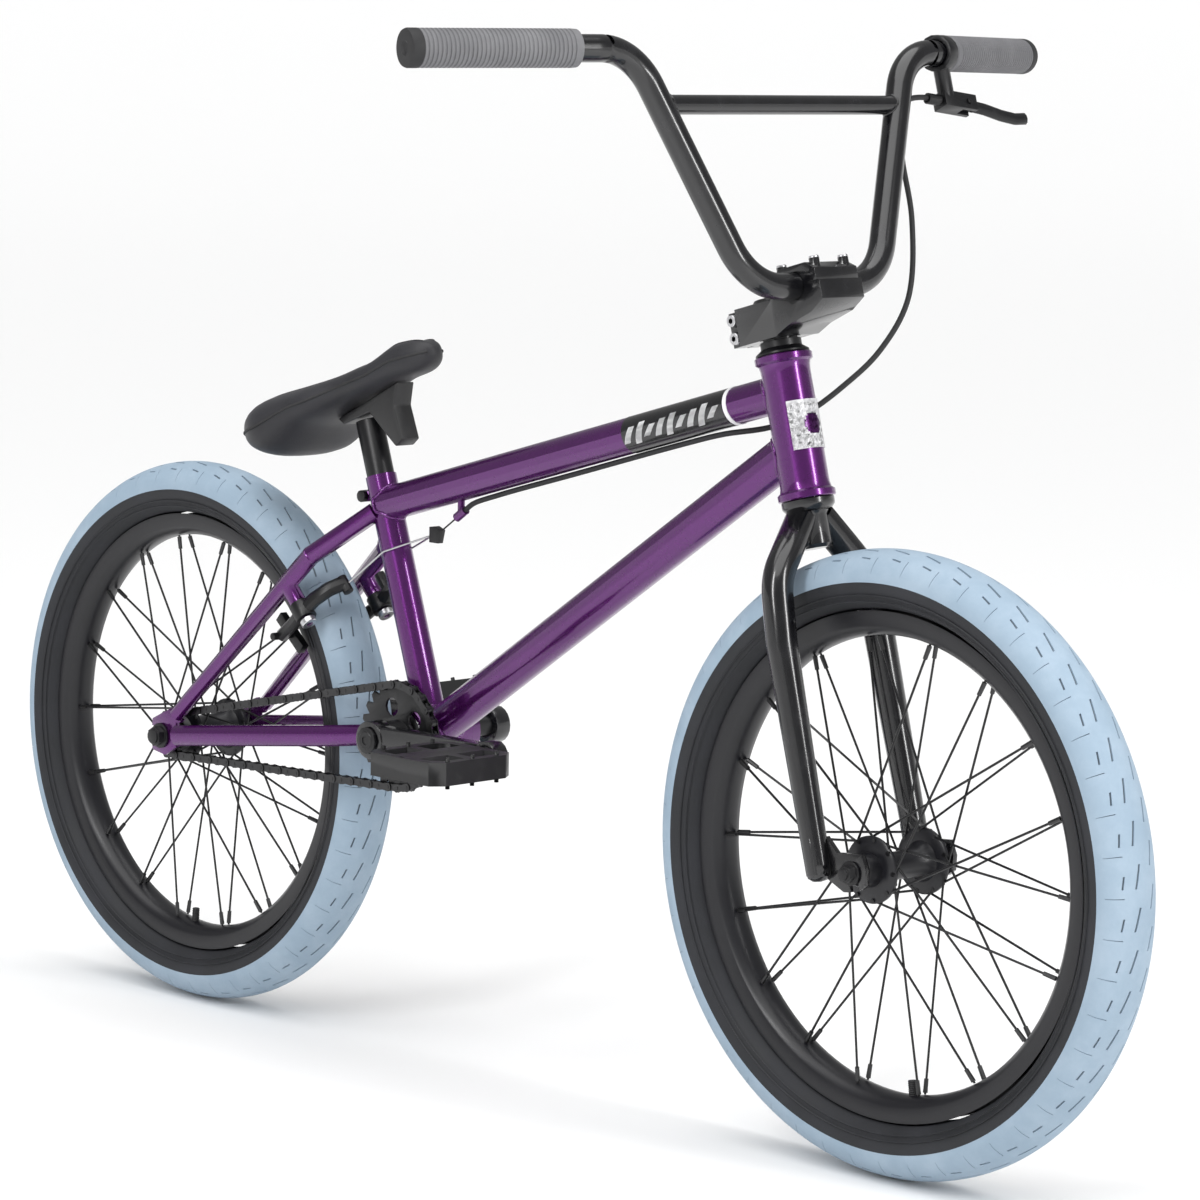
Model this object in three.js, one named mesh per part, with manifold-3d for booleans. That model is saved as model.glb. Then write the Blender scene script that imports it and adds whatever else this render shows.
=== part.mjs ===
// A 20 inch freestyle BMX bike: one mesh for each piece, in millimetres.
// +X points forward, +Y to the rider's left and +Z up. The origin is on the ground,
// midway between the two axles.
import * as THREE from 'three';
import { mergeVertices } from 'three/addons/utils/BufferGeometryUtils.js';
import Module from 'manifold-3d';

const wasm = await Module();
wasm.setup();

const GAP = 0.3;                  // air left between two pieces that touch
const TAU = 2 * Math.PI;
const radians = THREE.MathUtils.degToRad;

// Wheels
const WHEELBASE = 890;
const WHEEL_RADIUS = 258;
const TYRE_WIDTH = 61;
const TYRE_HEIGHT = 55;
const TYRE_WALL = 4;
const WHEEL_SIDES = 36;           // facets round a tyre or rim
const RIM_OUTER = 208;
const RIM_INNER = 187;
const RIM_WIDTH = 34;
const SPOKES_PER_SIDE = 18;
const SPOKE_RADIUS = 1.1;
const FLANGE_RADIUS = 27;
const VALVE_LENGTH = 44;
const FRONT_VALVE_ANGLE = radians(-83);
const REAR_VALVE_ANGLE = radians(-94);

// Frame
const BRACKET_BACK = 327;         // rear axle to bottom bracket, along X
const BRACKET_HEIGHT = 297;
const SEAT_ANGLE = radians(71.4);
const SEAT_TUBE_LENGTH = 237.5;
const TOP_TUBE_ON_SEAT_TUBE = 210.6;
const HEAD_ANGLE = radians(75);
const HEAD_CENTRE_BACK = 765.6;   // rear axle to the middle of the head tube, along X
const HEAD_CENTRE_HEIGHT = 604;
const HEAD_LENGTH = 120;
const TOP_TUBE_ON_HEAD = 30;      // above the middle of the head tube
const DOWN_TUBE_ON_HEAD = -15.5;
const TOP_TUBE_RADIUS = 15.9;
const DOWN_TUBE_RADIUS = 17.45;
const SEAT_TUBE_RADIUS = 14.3;
const SEAT_POST_RADIUS = 12.7;
const TUBE_WALL = 1.6;
const HEAD_RADIUS = 20.5;
const HEAD_FLARE = 24;
const BEARING_RADIUS = 20.6;
const BEARING_HEIGHT = 8;
const BRACKET_SHELL_RADIUS = 25;
const BRACKET_SHELL_HALF = 34;
const STAY_RADIUS = 9;
const STAY_FOOT = 34;             // rear axle to the lower end of a seat stay
const STAY_ANGLE = radians(42.5); // slope of the seat stays
const REAR_DROPOUT_IN = 48;       // inner face of a rear dropout, from the centre plane
const FRONT_DROPOUT_IN = 50;
const DROPOUT_THICKNESS = 5;
const REAR_AXLE_RADIUS = 7;
const FRONT_AXLE_RADIUS = 4.8;

// Fork, stem and bars, measured along and square to the steering axis
const FORK_RAKE = 30.6;
const AXLE_BELOW_HEAD = 366.4;
const STEERER_RADIUS = 14.3;
const FORK_LEG_RADIUS = 13;
const FORK_LEG_TIP_RADIUS = 10.5;
const FORK_LEG_OUT = 60;
const CLAMP_RISE = 108;           // bar clamp above the middle of the head tube
const CLAMP_REACH = 48.4;
const BAR_RADIUS = 11.1;
const BAR_RISE = 196;
const BAR_FOOT = 75.5;            // half the width between the uprights at clamp height
const BAR_SPREAD = 0.427;         // outward slope of an upright
const BAR_LEAN = radians(1);
const CROSSBAR_HEIGHT = 150.6;
const CROSSBAR_RADIUS = 8;
const GRIP_BEND = 196;            // half-width where the bar starts to sweep back
const GRIP_START = 216;
const BAR_END = 358;
const BACKSWEEP = 0.245;
const UPSWEEP = 0.054;
const GRIP_RADIUS = 15.5;
const LEVER_PLACE = 207;          // distance of the brake lever's clamp from the centre plane
const LEVER_PIVOT = new THREE.Vector3(38, 232, 261);
const LEVER_TURN = [radians(-10), radians(-9.3), radians(-5.4)];

// Cranks, chain and pedals
const CHAINLINE = -41.5;
const SPROCKET_TEETH = 23;
const COG_TEETH = 9;
const CHAIN_PITCH = 12.7;
const CHAIN_HALF_HEIGHT = 4.2;
const CHAIN_WIDTH = 7;
const TOOTH_WIDTH = 2.6;
const CRANK_LENGTH = 152;
const CRANK_ANGLE = radians(1.5);
const CRANK_IN = 62;
const CRANK_THICKNESS = 16;
const SPINDLE_RADIUS = 9.5;
const PEDAL_CENTRE = 129;
const PEDAL_SIZE = 92;
const PEDAL_HEIGHT = 20;
const RIGHT_PEDAL_TILT = radians(0);
const LEFT_PEDAL_TILT = radians(-22);
const PEDAL_AXLE_RADIUS = 5;

// Rear brake, measured along the seat stays from the rear axle
const BRAKE_ALONG = 240;
const BRAKE_SIDE = 46.5;
const BRAKE_PROUD = 32;           // middle of a brake arm, forward of the stays
const PAD_ALONG = 193;
const PAD_GAP = 1.8;

const REAR_AXLE = new THREE.Vector3(-WHEELBASE / 2, 0, WHEEL_RADIUS);
const FRONT_AXLE = new THREE.Vector3(WHEELBASE / 2, 0, WHEEL_RADIUS);
const BRACKET = new THREE.Vector3(REAR_AXLE.x + BRACKET_BACK, 0, BRACKET_HEIGHT);
const HEAD = new THREE.Vector3(REAR_AXLE.x + HEAD_CENTRE_BACK, 0, HEAD_CENTRE_HEIGHT);
const SEAT_UP = new THREE.Vector3(-Math.cos(SEAT_ANGLE), 0, Math.sin(SEAT_ANGLE));
const HEAD_UP = new THREE.Vector3(-Math.cos(HEAD_ANGLE), 0, Math.sin(HEAD_ANGLE));

// ---------------------------------------------------------------- materials

function paint(colour, roughness, metalness) {
  return new THREE.MeshStandardMaterial({ color: colour, roughness, metalness });
}

const PURPLE = paint(0x4d1466, 0.22, 0.7);
const BLACK_GLOSS = paint(0x0d0e12, 0.2, 0.3);
const BLACK_SATIN = paint(0x17191c, 0.45, 0.4);
const BLACK_PLASTIC = paint(0x1d1e21, 0.55, 0);
const STEEL = paint(0x9a9ca0, 0.35, 1);
const TYRE_BLUE = paint(0x8fa8c2, 0.8, 0);
const RUBBER = paint(0x1b1c20, 0.75, 0);
const GRIP_GREY = paint(0x6b6c6f, 0.8, 0);
const SEAT_CLOTH = paint(0x1a1b20, 0.85, 0);

// ---------------------------------------------------------------- making and joining solids

function at(x, y, z) {
  return new THREE.Vector3(x, y, z);
}

// The point that lies distance along direction from start.
function along(start, direction, distance) {
  return start.clone().addScaledVector(direction, distance);
}

function signedVolume(positions, corners) {
  const a = new THREE.Vector3();
  const b = new THREE.Vector3();
  const c = new THREE.Vector3();
  let total = 0;
  for (let i = 0; i < corners.length; i += 3) {
    a.fromBufferAttribute(positions, corners[i]);
    b.fromBufferAttribute(positions, corners[i + 1]);
    c.fromBufferAttribute(positions, corners[i + 2]);
    total += a.dot(b.cross(c));
  }
  return total;
}

// A closed geometry as a solid, with its shared vertices merged and its faces out.
function solid(geometry) {
  geometry.deleteAttribute('normal');
  geometry.deleteAttribute('uv');
  const merged = mergeVertices(geometry);
  const corners = [];
  for (let i = 0; i < merged.index.count; i += 3) {
    const triangle = [0, 1, 2].map((k) => merged.index.getX(i + k));
    if (new Set(triangle).size === 3) corners.push(...triangle);
  }
  if (signedVolume(merged.attributes.position, corners) < 0) corners.reverse();
  return new wasm.Manifold(new wasm.Mesh({
    numProp: 3,
    vertProperties: new Float32Array(merged.attributes.position.array),
    triVerts: new Uint32Array(corners),
  }));
}

function join(first, ...others) {
  return others.reduce((whole, other) => whole.add(other), first);
}

function cut(first, ...others) {
  return others.reduce((whole, other) => whole.subtract(other), first);
}

function mirrored(shape) {
  return shape.mirror([0, 1, 0]);
}

// A straight round bar, tapered if it has two radii.
function rod(from, to, radius, endRadius = radius, sides = 16) {
  const axis = to.clone().sub(from);
  const geometry = new THREE.CylinderGeometry(endRadius, radius, axis.length(), sides);
  const turn = new THREE.Quaternion().setFromUnitVectors(at(0, 1, 0), axis.normalize());
  const middle = from.clone().lerp(to, 0.5);
  return solid(geometry.applyMatrix4(new THREE.Matrix4().compose(middle, turn, at(1, 1, 1))));
}

// A disc or bar whose axis lies along Y, between two distances from the centre plane.
function crossRod(x, z, yLow, yHigh, radius, sides = 16) {
  return rod(at(x, yLow, z), at(x, yHigh, z), radius, radius, sides);
}

// A cross rod on one side of the bike, between two distances from the middle.
function sideRod(side, near, far, radius, sides) {
  return crossRod(0, 0, Math.min(side * near, side * far), Math.max(side * near, side * far), radius, sides);
}

// A straight open tube.
function pipe(from, to, radius, sides = 16) {
  const direction = to.clone().sub(from).normalize();
  const inner = radius - TUBE_WALL;
  const bore = rod(along(from, direction, -1), along(to, direction, 1), inner, inner, sides);
  return cut(rod(from, to, radius, radius, sides), bore);
}

// A box given by its two opposite corners.
function block(low, high) {
  const size = high.clone().sub(low);
  const middle = low.clone().lerp(high, 0.5);
  return solid(new THREE.BoxGeometry(size.x, size.y, size.z).translate(middle.x, middle.y, middle.z));
}

// A solid of revolution about Y from [radius, y] pairs.
function turned(pairs, sides = 24) {
  return solid(new THREE.LatheGeometry(pairs.map(([r, y]) => new THREE.Vector2(r, y)), sides));
}

// The same about Z, from [radius, z] pairs.
function turnedUpright(pairs, sides = 24) {
  const points = pairs.map(([r, z]) => new THREE.Vector2(r, z));
  return solid(new THREE.LatheGeometry(points, sides).rotateX(Math.PI / 2));
}

// A plate in the XZ plane from its outline, between two values of Y.
function plate(outline, yLow, yHigh, curveSegments = 6) {
  const options = { depth: yHigh - yLow, bevelEnabled: false, curveSegments };
  return solid(new THREE.ExtrudeGeometry(outline, options).rotateX(Math.PI / 2).translate(0, yHigh, 0));
}

// A route of straight steps whose stations are the given points themselves.
class Route extends THREE.Curve {
  constructor(points) {
    super();
    this.points = points;
  }

  getPoint(t) {
    const place = t * (this.points.length - 1);
    const index = Math.min(Math.floor(place), this.points.length - 2);
    return this.points[index].clone().lerp(this.points[index + 1], place - index);
  }

  getPointAt(u) {
    return this.getPoint(u);
  }

  getTangentAt(u) {
    const index = Math.round(u * (this.points.length - 1));
    const before = this.points[Math.max(index - 1, 0)];
    const after = this.points[Math.min(index + 1, this.points.length - 1)];
    return after.clone().sub(before).normalize();
  }
}

// The points of a route with each inner corner rounded to a radius.
function rounded(points, radii, pieces = 5) {
  const route = [points[0]];
  for (let i = 1; i < points.length - 1; i++) {
    const corner = points[i];
    const back = points[i - 1].clone().sub(corner).normalize();
    const ahead = points[i + 1].clone().sub(corner).normalize();
    const half = back.angleTo(ahead) / 2;
    const start = along(corner, back, radii[i - 1] / Math.tan(half));
    const centre = along(corner, back.clone().add(ahead).normalize(), radii[i - 1] / Math.sin(half));
    const axis = ahead.clone().cross(back).normalize();
    for (let k = 0; k <= pieces; k++) {
      const spin = ((Math.PI - 2 * half) * k) / pieces;
      route.push(start.clone().sub(centre).applyAxisAngle(axis, spin).add(centre));
    }
  }
  route.push(points[points.length - 1]);
  return route;
}

// A bent bar along a route, with an oval section of half-sizes a and b.
function sweep(points, a, sides = 12, b = a) {
  const section = [];
  for (let i = 0; i < sides; i++) {
    const angle = (TAU * (i + 0.5)) / sides;
    section.push(new THREE.Vector2(a * Math.cos(angle), b * Math.sin(angle)));
  }
  const options = { steps: points.length - 1, bevelEnabled: false, extrudePath: new Route(points) };
  return solid(new THREE.ExtrudeGeometry(new THREE.Shape(section), options));
}

// The outline round two circles, as a belt lies round two wheels.
function beltOutline(ShapeType, from, fromRadius, to, toRadius) {
  const run = Math.atan2(to.y - from.y, to.x - from.x);
  const lean = Math.PI / 2 + Math.asin((toRadius - fromRadius) / from.distanceTo(to));
  const outline = new ShapeType();
  outline.absarc(from.x, from.y, fromRadius, run + lean, run + TAU - lean, false);
  outline.absarc(to.x, to.y, toRadius, run - lean, run + lean, false);
  outline.closePath();
  return outline;
}

// A polygon from [x, y] pairs.
function polygon(pairs) {
  return new THREE.Shape(pairs.map(([x, y]) => new THREE.Vector2(x, y)));
}

const bike = new THREE.Group();

function add(group, name, shape, material) {
  const made = shape.getMesh();
  const geometry = new THREE.BufferGeometry();
  geometry.setAttribute('position', new THREE.BufferAttribute(made.vertProperties, 3));
  geometry.setIndex(new THREE.BufferAttribute(made.triVerts, 1));
  const mesh = new THREE.Mesh(geometry, material);
  mesh.name = name;
  group.add(mesh);
}

function groupAt(parent, place) {
  const group = new THREE.Group();
  group.position.copy(place);
  parent.add(group);
  return group;
}

// ---------------------------------------------------------------- frame

const SEAT_TOP = along(BRACKET, SEAT_UP, SEAT_TUBE_LENGTH);
const TOP_TUBE_BACK = along(BRACKET, SEAT_UP, TOP_TUBE_ON_SEAT_TUBE);
const TOP_TUBE_FRONT = along(HEAD, HEAD_UP, TOP_TUBE_ON_HEAD);
const DOWN_TUBE_FRONT = along(HEAD, HEAD_UP, DOWN_TUBE_ON_HEAD);

// A point below the top tube: how far along it from the seat tube, and how far under its axis.
function underTopTube(distance, below) {
  const run = TOP_TUBE_FRONT.clone().sub(TOP_TUBE_BACK).normalize();
  return along(along(TOP_TUBE_BACK, run, distance), at(run.z, 0, -run.x), below);
}

const CABLE_STOP = underTopTube(96.7, 26.3);
const HANGER = new THREE.Vector3(REAR_AXLE.x + 328, 0, 475);
const WIRE_UP = CABLE_STOP.clone().sub(HANGER).normalize();

function clearOfHead() {
  const reach = HEAD_LENGTH / 2 + 5;
  const radius = HEAD_RADIUS + GAP;
  return rod(along(HEAD, HEAD_UP, -reach), along(HEAD, HEAD_UP, reach), radius, radius, 24);
}

function clearOfSeatTube() {
  const radius = SEAT_TUBE_RADIUS + GAP;
  return rod(BRACKET, along(SEAT_TOP, SEAT_UP, 20), radius);
}

function clearOfShell() {
  return crossRod(BRACKET.x, BRACKET.z, -60, 60, BRACKET_SHELL_RADIUS + GAP, 24);
}

// The head tube and its headset turn about Z in a group that leans with the head angle.
function headTube() {
  const end = HEAD_LENGTH / 2;
  const seat = end - BEARING_HEIGHT - GAP;
  const bore = BEARING_RADIUS + GAP;
  const wall = HEAD_RADIUS - 2.5;
  const upper = [[bore, end], [HEAD_FLARE, end], [HEAD_FLARE, end - 6], [HEAD_RADIUS, end - 11]];
  const lower = [[HEAD_RADIUS, 11 - end], [HEAD_FLARE, 6 - end], [HEAD_FLARE, -end], [bore, -end]];
  const inside = [[bore, -seat], [wall, -seat], [wall, seat], [bore, seat], [bore, end]];
  return turnedUpright([...upper, ...lower, ...inside]);
}

function headsetBearing(side) {
  const far = HEAD_LENGTH / 2 - GAP / 2;
  const near = far - BEARING_HEIGHT + GAP;
  const inner = STEERER_RADIUS + GAP;
  const outer = BEARING_RADIUS;
  const ring = [[inner, near], [outer, near], [outer, far], [inner, far], [inner, near]];
  return turnedUpright(ring.map(([r, z]) => [r, side * z]), 20);
}

function topTube() {
  const tube = pipe(TOP_TUBE_BACK, TOP_TUBE_FRONT, TOP_TUBE_RADIUS);
  const post = rod(along(CABLE_STOP, at(0, 0, 1), 0), along(CABLE_STOP, at(0, 0, 1), 12), 3.2, 3.2, 8);
  const barrel = rod(along(CABLE_STOP, WIRE_UP, -7), along(CABLE_STOP, WIRE_UP, 7), 4.2, 4.2, 10);
  const hole = rod(along(CABLE_STOP, WIRE_UP, -9), along(CABLE_STOP, WIRE_UP, 9), 1.3, 1.3, 8);
  const socket = rod(CABLE_STOP, along(CABLE_STOP, WIRE_UP, 9), 3, 3, 8);
  const stop = cut(join(post, barrel), hole, socket);
  return cut(join(tube, stop), clearOfSeatTube(), clearOfHead());
}

function downTube() {
  return cut(pipe(BRACKET, DOWN_TUBE_FRONT, DOWN_TUBE_RADIUS), clearOfShell(), clearOfHead());
}

// The seat tube carries the slit ears of the post clamp at its top.
function seatTube() {
  const down = BRACKET.clone().sub(DOWN_TUBE_FRONT).normalize();
  const downSolid = rod(along(BRACKET, down, 10), DOWN_TUBE_FRONT, DOWN_TUBE_RADIUS + GAP);
  const back = at(-Math.sin(SEAT_ANGLE), 0, -Math.cos(SEAT_ANGLE));
  const earPlace = along(along(SEAT_TOP, SEAT_UP, -14), back, SEAT_TUBE_RADIUS + 4);
  const ears = crossRod(earPlace.x, earPlace.z, -8, 8, 5.5, 10);
  const boltHole = crossRod(earPlace.x, earPlace.z, -20, 20, 3.3, 10);
  const boreRadius = SEAT_POST_RADIUS + GAP;
  const bore = rod(along(BRACKET, SEAT_UP, 20), along(SEAT_TOP, SEAT_UP, 5), boreRadius, boreRadius);
  const tube = rod(BRACKET, SEAT_TOP, SEAT_TUBE_RADIUS);
  const slitEnd = along(SEAT_TOP, SEAT_UP, -26);
  const slit = block(at(earPlace.x - 12, -1, slitEnd.z), at(slitEnd.x, 1, SEAT_TOP.z + 9));
  return cut(join(tube, ears), bore, boltHole, slit, downSolid, clearOfShell());
}

function seatClampBolt() {
  const back = at(-Math.sin(SEAT_ANGLE), 0, -Math.cos(SEAT_ANGLE));
  const place = along(along(SEAT_TOP, SEAT_UP, -14), back, SEAT_TUBE_RADIUS + 4);
  const shank = crossRod(place.x, place.z, -9, 9, 3, 10);
  const head = crossRod(place.x, place.z, -13, -8 - GAP, 5.5, 10);
  const nut = crossRod(place.x, place.z, 8 + GAP, 12, 5, 6);
  return join(shank, head, nut);
}

function bracketShell() {
  const half = BRACKET_SHELL_HALF;
  const bore = BEARING_RADIUS + GAP;
  const outer = BRACKET_SHELL_RADIUS;
  const wall = outer - 5.5;
  const seat = half - 10;
  const ring = [[bore, half], [outer, half], [outer, -half], [bore, -half], [bore, -seat],
    [wall, -seat], [wall, seat], [bore, seat], [bore, half]];
  return turned(ring);
}

function bracketBearing(side) {
  const near = BRACKET_SHELL_HALF - 10 + GAP;
  const far = BRACKET_SHELL_HALF - GAP;
  const inner = SPINDLE_RADIUS + GAP;
  const ring = [[inner, near], [BEARING_RADIUS, near], [BEARING_RADIUS, far], [inner, far], [inner, near]];
  return turned(ring.map(([r, y]) => [r, side * y]), 20);
}

// The stays are drawn for the left side and mirrored for the right.
function chainStay() {
  const rise = (BRACKET_HEIGHT - WHEEL_RADIUS) / BRACKET_BACK;
  const station = (back, y) => at(REAR_AXLE.x + back, y, REAR_AXLE.z + rise * back);
  const route = [station(315, 29), station(275, 30), station(255, 36), station(232, 42.5), station(24, 53)];
  return cut(sweep(route, 8.5, 12, 10), clearOfShell());
}

function seatStay() {
  const up = at(Math.cos(STAY_ANGLE), 0, Math.sin(STAY_ANGLE));
  const foot = along(at(REAR_AXLE.x, 54, REAR_AXLE.z), up, STAY_FOOT);
  const knee = along(at(REAR_AXLE.x, 45, REAR_AXLE.z), up, 282);
  const shin = rod(foot, along(knee, knee.clone().sub(foot).normalize(), 1), 7.2, STAY_RADIUS, 12);
  const top = at(REAR_AXLE.x + 256, 11, 490);
  const thigh = sweep([along(knee, up, -3), knee, top], STAY_RADIUS);
  const boss = brakeBoss();
  return cut(join(shin, thigh, boss), clearOfSeatTube());
}

function brakePoint(y, distance, proud) {
  const c = Math.cos(STAY_ANGLE);
  const s = Math.sin(STAY_ANGLE);
  return at(REAR_AXLE.x + distance * c + proud * s, y, REAR_AXLE.z + distance * s - proud * c);
}

// A rod on a brake pivot's line, between two distances forward of the stays.
function brakeRod(low, high, radius, sides) {
  const [from, to] = [low, high].map((proud) => brakePoint(BRAKE_SIDE, BRAKE_ALONG, proud));
  return rod(from, to, radius, radius, sides);
}

function brakeBoss() {
  const step = brakeRod(0, 23, 8, 12);
  const stud = brakeRod(20, 46, 4, 10);
  const head = brakeRod(42, 46, 6.5, 6);
  return join(step, stud, head);
}

function rearDropout() {
  const outline = polygon([[-14, 8], [-13, 15], [6, 24], [18, 29], [32, 19], [24, 12],
    [23, -8], [6, -18], [-13, -15],
    [-14, -8], [0, -8], [5.7, -5.7], [8, 0], [5.7, 5.7], [0, 8]]);
  const shape = plate(outline, REAR_DROPOUT_IN, REAR_DROPOUT_IN + DROPOUT_THICKNESS);
  const stays = [chainStaySpace(), seatStaySpace()];
  return cut(shape.translate([REAR_AXLE.x, 0, REAR_AXLE.z]), ...stays);
}

function chainStaySpace() {
  return block(at(REAR_AXLE.x + 22, 40, REAR_AXLE.z - 9), at(REAR_AXLE.x + 60, 70, REAR_AXLE.z + 15));
}

function seatStaySpace() {
  const up = at(Math.cos(STAY_ANGLE), 0, Math.sin(STAY_ANGLE));
  const foot = along(at(REAR_AXLE.x, 54, REAR_AXLE.z), up, STAY_FOOT - GAP);
  return rod(foot, along(foot, up, 30), 9, 9, 12);
}

// ---------------------------------------------------------------- axles, hubs and wheels

// An axle with its two nuts: radius, where the dropouts' outer faces are, and the nuts' size.
function axleWithNuts(radius, faces, nutRadius) {
  const nut = (side) => join(
    sideRod(side, faces + GAP, faces + 2.5, nutRadius + 2.5, 16),
    sideRod(side, faces + 1, faces + 9, nutRadius, 6),
  );
  return join(crossRod(0, 0, -faces - 11, faces + 11, radius, 14), nut(1), nut(-1));
}

function tyre() {
  const middle = WHEEL_RADIUS - TYRE_HEIGHT / 2;
  const grow = 1 / Math.cos(Math.PI / WHEEL_SIDES);
  const ring = (degrees, inset) => {
    const angle = radians(degrees);
    const r = middle + (TYRE_HEIGHT / 2 - inset) * Math.cos(angle);
    return [r * grow, (TYRE_WIDTH / 2 - inset) * Math.sin(angle)];
  };
  const crown = [WHEEL_RADIUS * grow, 8];
  const bead = [[RIM_OUTER + 1.6, 18.5], [RIM_OUTER + 1.6, 14.6]];
  const outside = [...[40, 66, 92, 125].map((a) => ring(a, 0)), ...bead];
  const inside = [110, 60, 0].map((a) => ring(a, TYRE_WALL));
  const right = [crown, ...outside, ...inside];
  const left = right.slice(0, -1).reverse().map(([r, y]) => [r, -y]);
  const profile = [...right, ...left, crown];
  return turned(profile, WHEEL_SIDES).rotate([0, 180 / WHEEL_SIDES, 0]);
}

function rim(valveAngle) {
  const side = RIM_WIDTH / 2;
  const half = [[RIM_OUTER, side], [RIM_OUTER - 14, side - 2], [RIM_INNER, 8]];
  const profile = [...half, ...half.map(([r, y]) => [r, -y]).reverse(),
    [RIM_OUTER, 3 - side], [RIM_OUTER - 9, -10], [RIM_OUTER - 9, 10], [RIM_OUTER, side - 3], half[0]];
  const outward = at(Math.cos(valveAngle), 0, Math.sin(valveAngle));
  const hub = at(0, 0, 0);
  const hole = rod(along(hub, outward, RIM_INNER - 10), along(hub, outward, RIM_OUTER), 4.6, 4.6, 8);
  return cut(turned(profile, WHEEL_SIDES).rotate([0, 180 / WHEEL_SIDES, 0]), hole);
}

function innerTube(valveAngle) {
  const middle = WHEEL_RADIUS - TYRE_HEIGHT / 2 - 1;
  const profile = [];
  for (let i = 0; i <= 8; i++) {
    profile.push([middle + 18 * Math.cos((TAU * i) / 8), 19 * Math.sin((TAU * i) / 8)]);
  }
  const outward = at(Math.cos(valveAngle), 0, Math.sin(valveAngle));
  const tip = middle - 10 - VALVE_LENGTH;
  const stem = rod(along(at(0, 0, 0), outward, middle - 10), along(at(0, 0, 0), outward, tip), 3.8, 3.8, 8);
  return join(turned(profile, 32), stem);
}

// Half a wheel's spokes, three-cross: nine lead and nine trail, held by a ring round the flange.
function spokes(flange, rimSide) {
  const step = TAU / SPOKES_PER_SIDE;
  const side = Math.sign(rimSide);
  const bed = FLANGE_RADIUS + GAP;
  const low = flange - side * 4;
  const ring = [[bed, low], [bed + 3.5, low], [bed + 3.5, flange], [bed, flange], [bed, low]];
  const shapes = [turned(ring, 18)];
  for (let i = 0; i < SPOKES_PER_SIDE; i++) {
    const lead = i % 2 ? -1 : 1;
    const hub = step * i;
    const rim = hub + lead * 3 * step;
    const reach = RIM_INNER - 2.2;
    const inset = lead > 0 ? 0.9 : 3.3;
    const inner = at((bed + 2) * Math.cos(hub), flange - side * inset, (bed + 2) * Math.sin(hub));
    const outer = at(reach * Math.cos(rim), rimSide - side * inset, reach * Math.sin(rim));
    shapes.push(rod(inner, outer, SPOKE_RADIUS, SPOKE_RADIUS, 4));
  }
  return join(...shapes);
}

// A hub shell: its flanges' outer faces, its ends, and the bore round the axle.
function hub(leftFlange, rightFlange, leftEnd, rightEnd, bore, body) {
  const flange = FLANGE_RADIUS;
  const profile = [[bore, rightEnd], [body - 3, rightEnd], [body, rightFlange], [flange, rightFlange],
    [flange, rightFlange + 3], [body, rightFlange + 3], [body, leftFlange - 3], [flange, leftFlange - 3],
    [flange, leftFlange], [body, leftFlange], [body - 3, leftEnd], [bore, leftEnd], [bore, rightEnd]];
  return turned(profile, 18);
}

function wheel(name, place, valveAngle, flanges, hubShape) {
  const group = groupAt(bike, place);
  add(group, `${name}_tyre`, tyre(), TYRE_BLUE);
  add(group, `${name}_inner_tube`, innerTube(valveAngle), RUBBER);
  add(group, `${name}_rim`, rim(valveAngle), BLACK_SATIN);
  add(group, `${name}_spokes_left`, spokes(flanges[0], 7), BLACK_SATIN);
  add(group, `${name}_spokes_right`, spokes(flanges[1], -7), BLACK_SATIN);
  add(group, `${name}_hub`, hubShape, BLACK_SATIN);
}

// ---------------------------------------------------------------- chain and cranks

function pitchRadius(teeth) {
  return CHAIN_PITCH / (2 * Math.sin(Math.PI / teeth));
}

// A toothed disc in the XZ plane, with one point for each root and two for each tip.
function toothedOutline(teeth) {
  const pitch = pitchRadius(teeth);
  const outline = [];
  for (let i = 0; i < teeth; i++) {
    const middle = (TAU * (i + 0.5)) / teeth;
    const spread = (TAU / teeth) * 0.17;
    outline.push([(pitch - 4) * Math.cos((TAU * i) / teeth), (pitch - 4) * Math.sin((TAU * i) / teeth)]);
    for (const side of [-1, 1]) {
      const turn = middle + side * spread;
      outline.push([(pitch + 3) * Math.cos(turn), (pitch + 3) * Math.sin(turn)]);
    }
  }
  return polygon(outline);
}

function sprocket() {
  const outline = toothedOutline(SPROCKET_TEETH);
  const windows = 5;
  for (let i = 0; i < windows; i++) {
    const angle = (TAU * (i + 0.5)) / windows;
    const hole = new THREE.Path();
    hole.absarc(27 * Math.cos(angle), 27 * Math.sin(angle), 8.5, 0, TAU, true);
    outline.holes.push(hole);
  }
  const disc = plate(outline, CHAINLINE - TOOTH_WIDTH / 2, CHAINLINE + TOOTH_WIDTH / 2, 6);
  const collar = crossRod(0, 0, -CRANK_IN + GAP, CHAINLINE + TOOTH_WIDTH / 2 + 3, 15, 20);
  const through = crossRod(0, 0, -CRANK_IN - 5, 0, SPINDLE_RADIUS + GAP, 16);
  return cut(join(disc, collar), through);
}

// The driver cog turns on the hub, beside its right flange.
function cog() {
  const disc = plate(toothedOutline(COG_TEETH), CHAINLINE - TOOTH_WIDTH / 2, CHAINLINE + TOOTH_WIDTH / 2);
  const sleeve = crossRod(0, 0, -46, -34, 13, 16);
  const through = crossRod(0, 0, -60, 0, REAR_AXLE_RADIUS + 0.6, 14);
  return cut(join(disc, sleeve), through);
}

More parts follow.
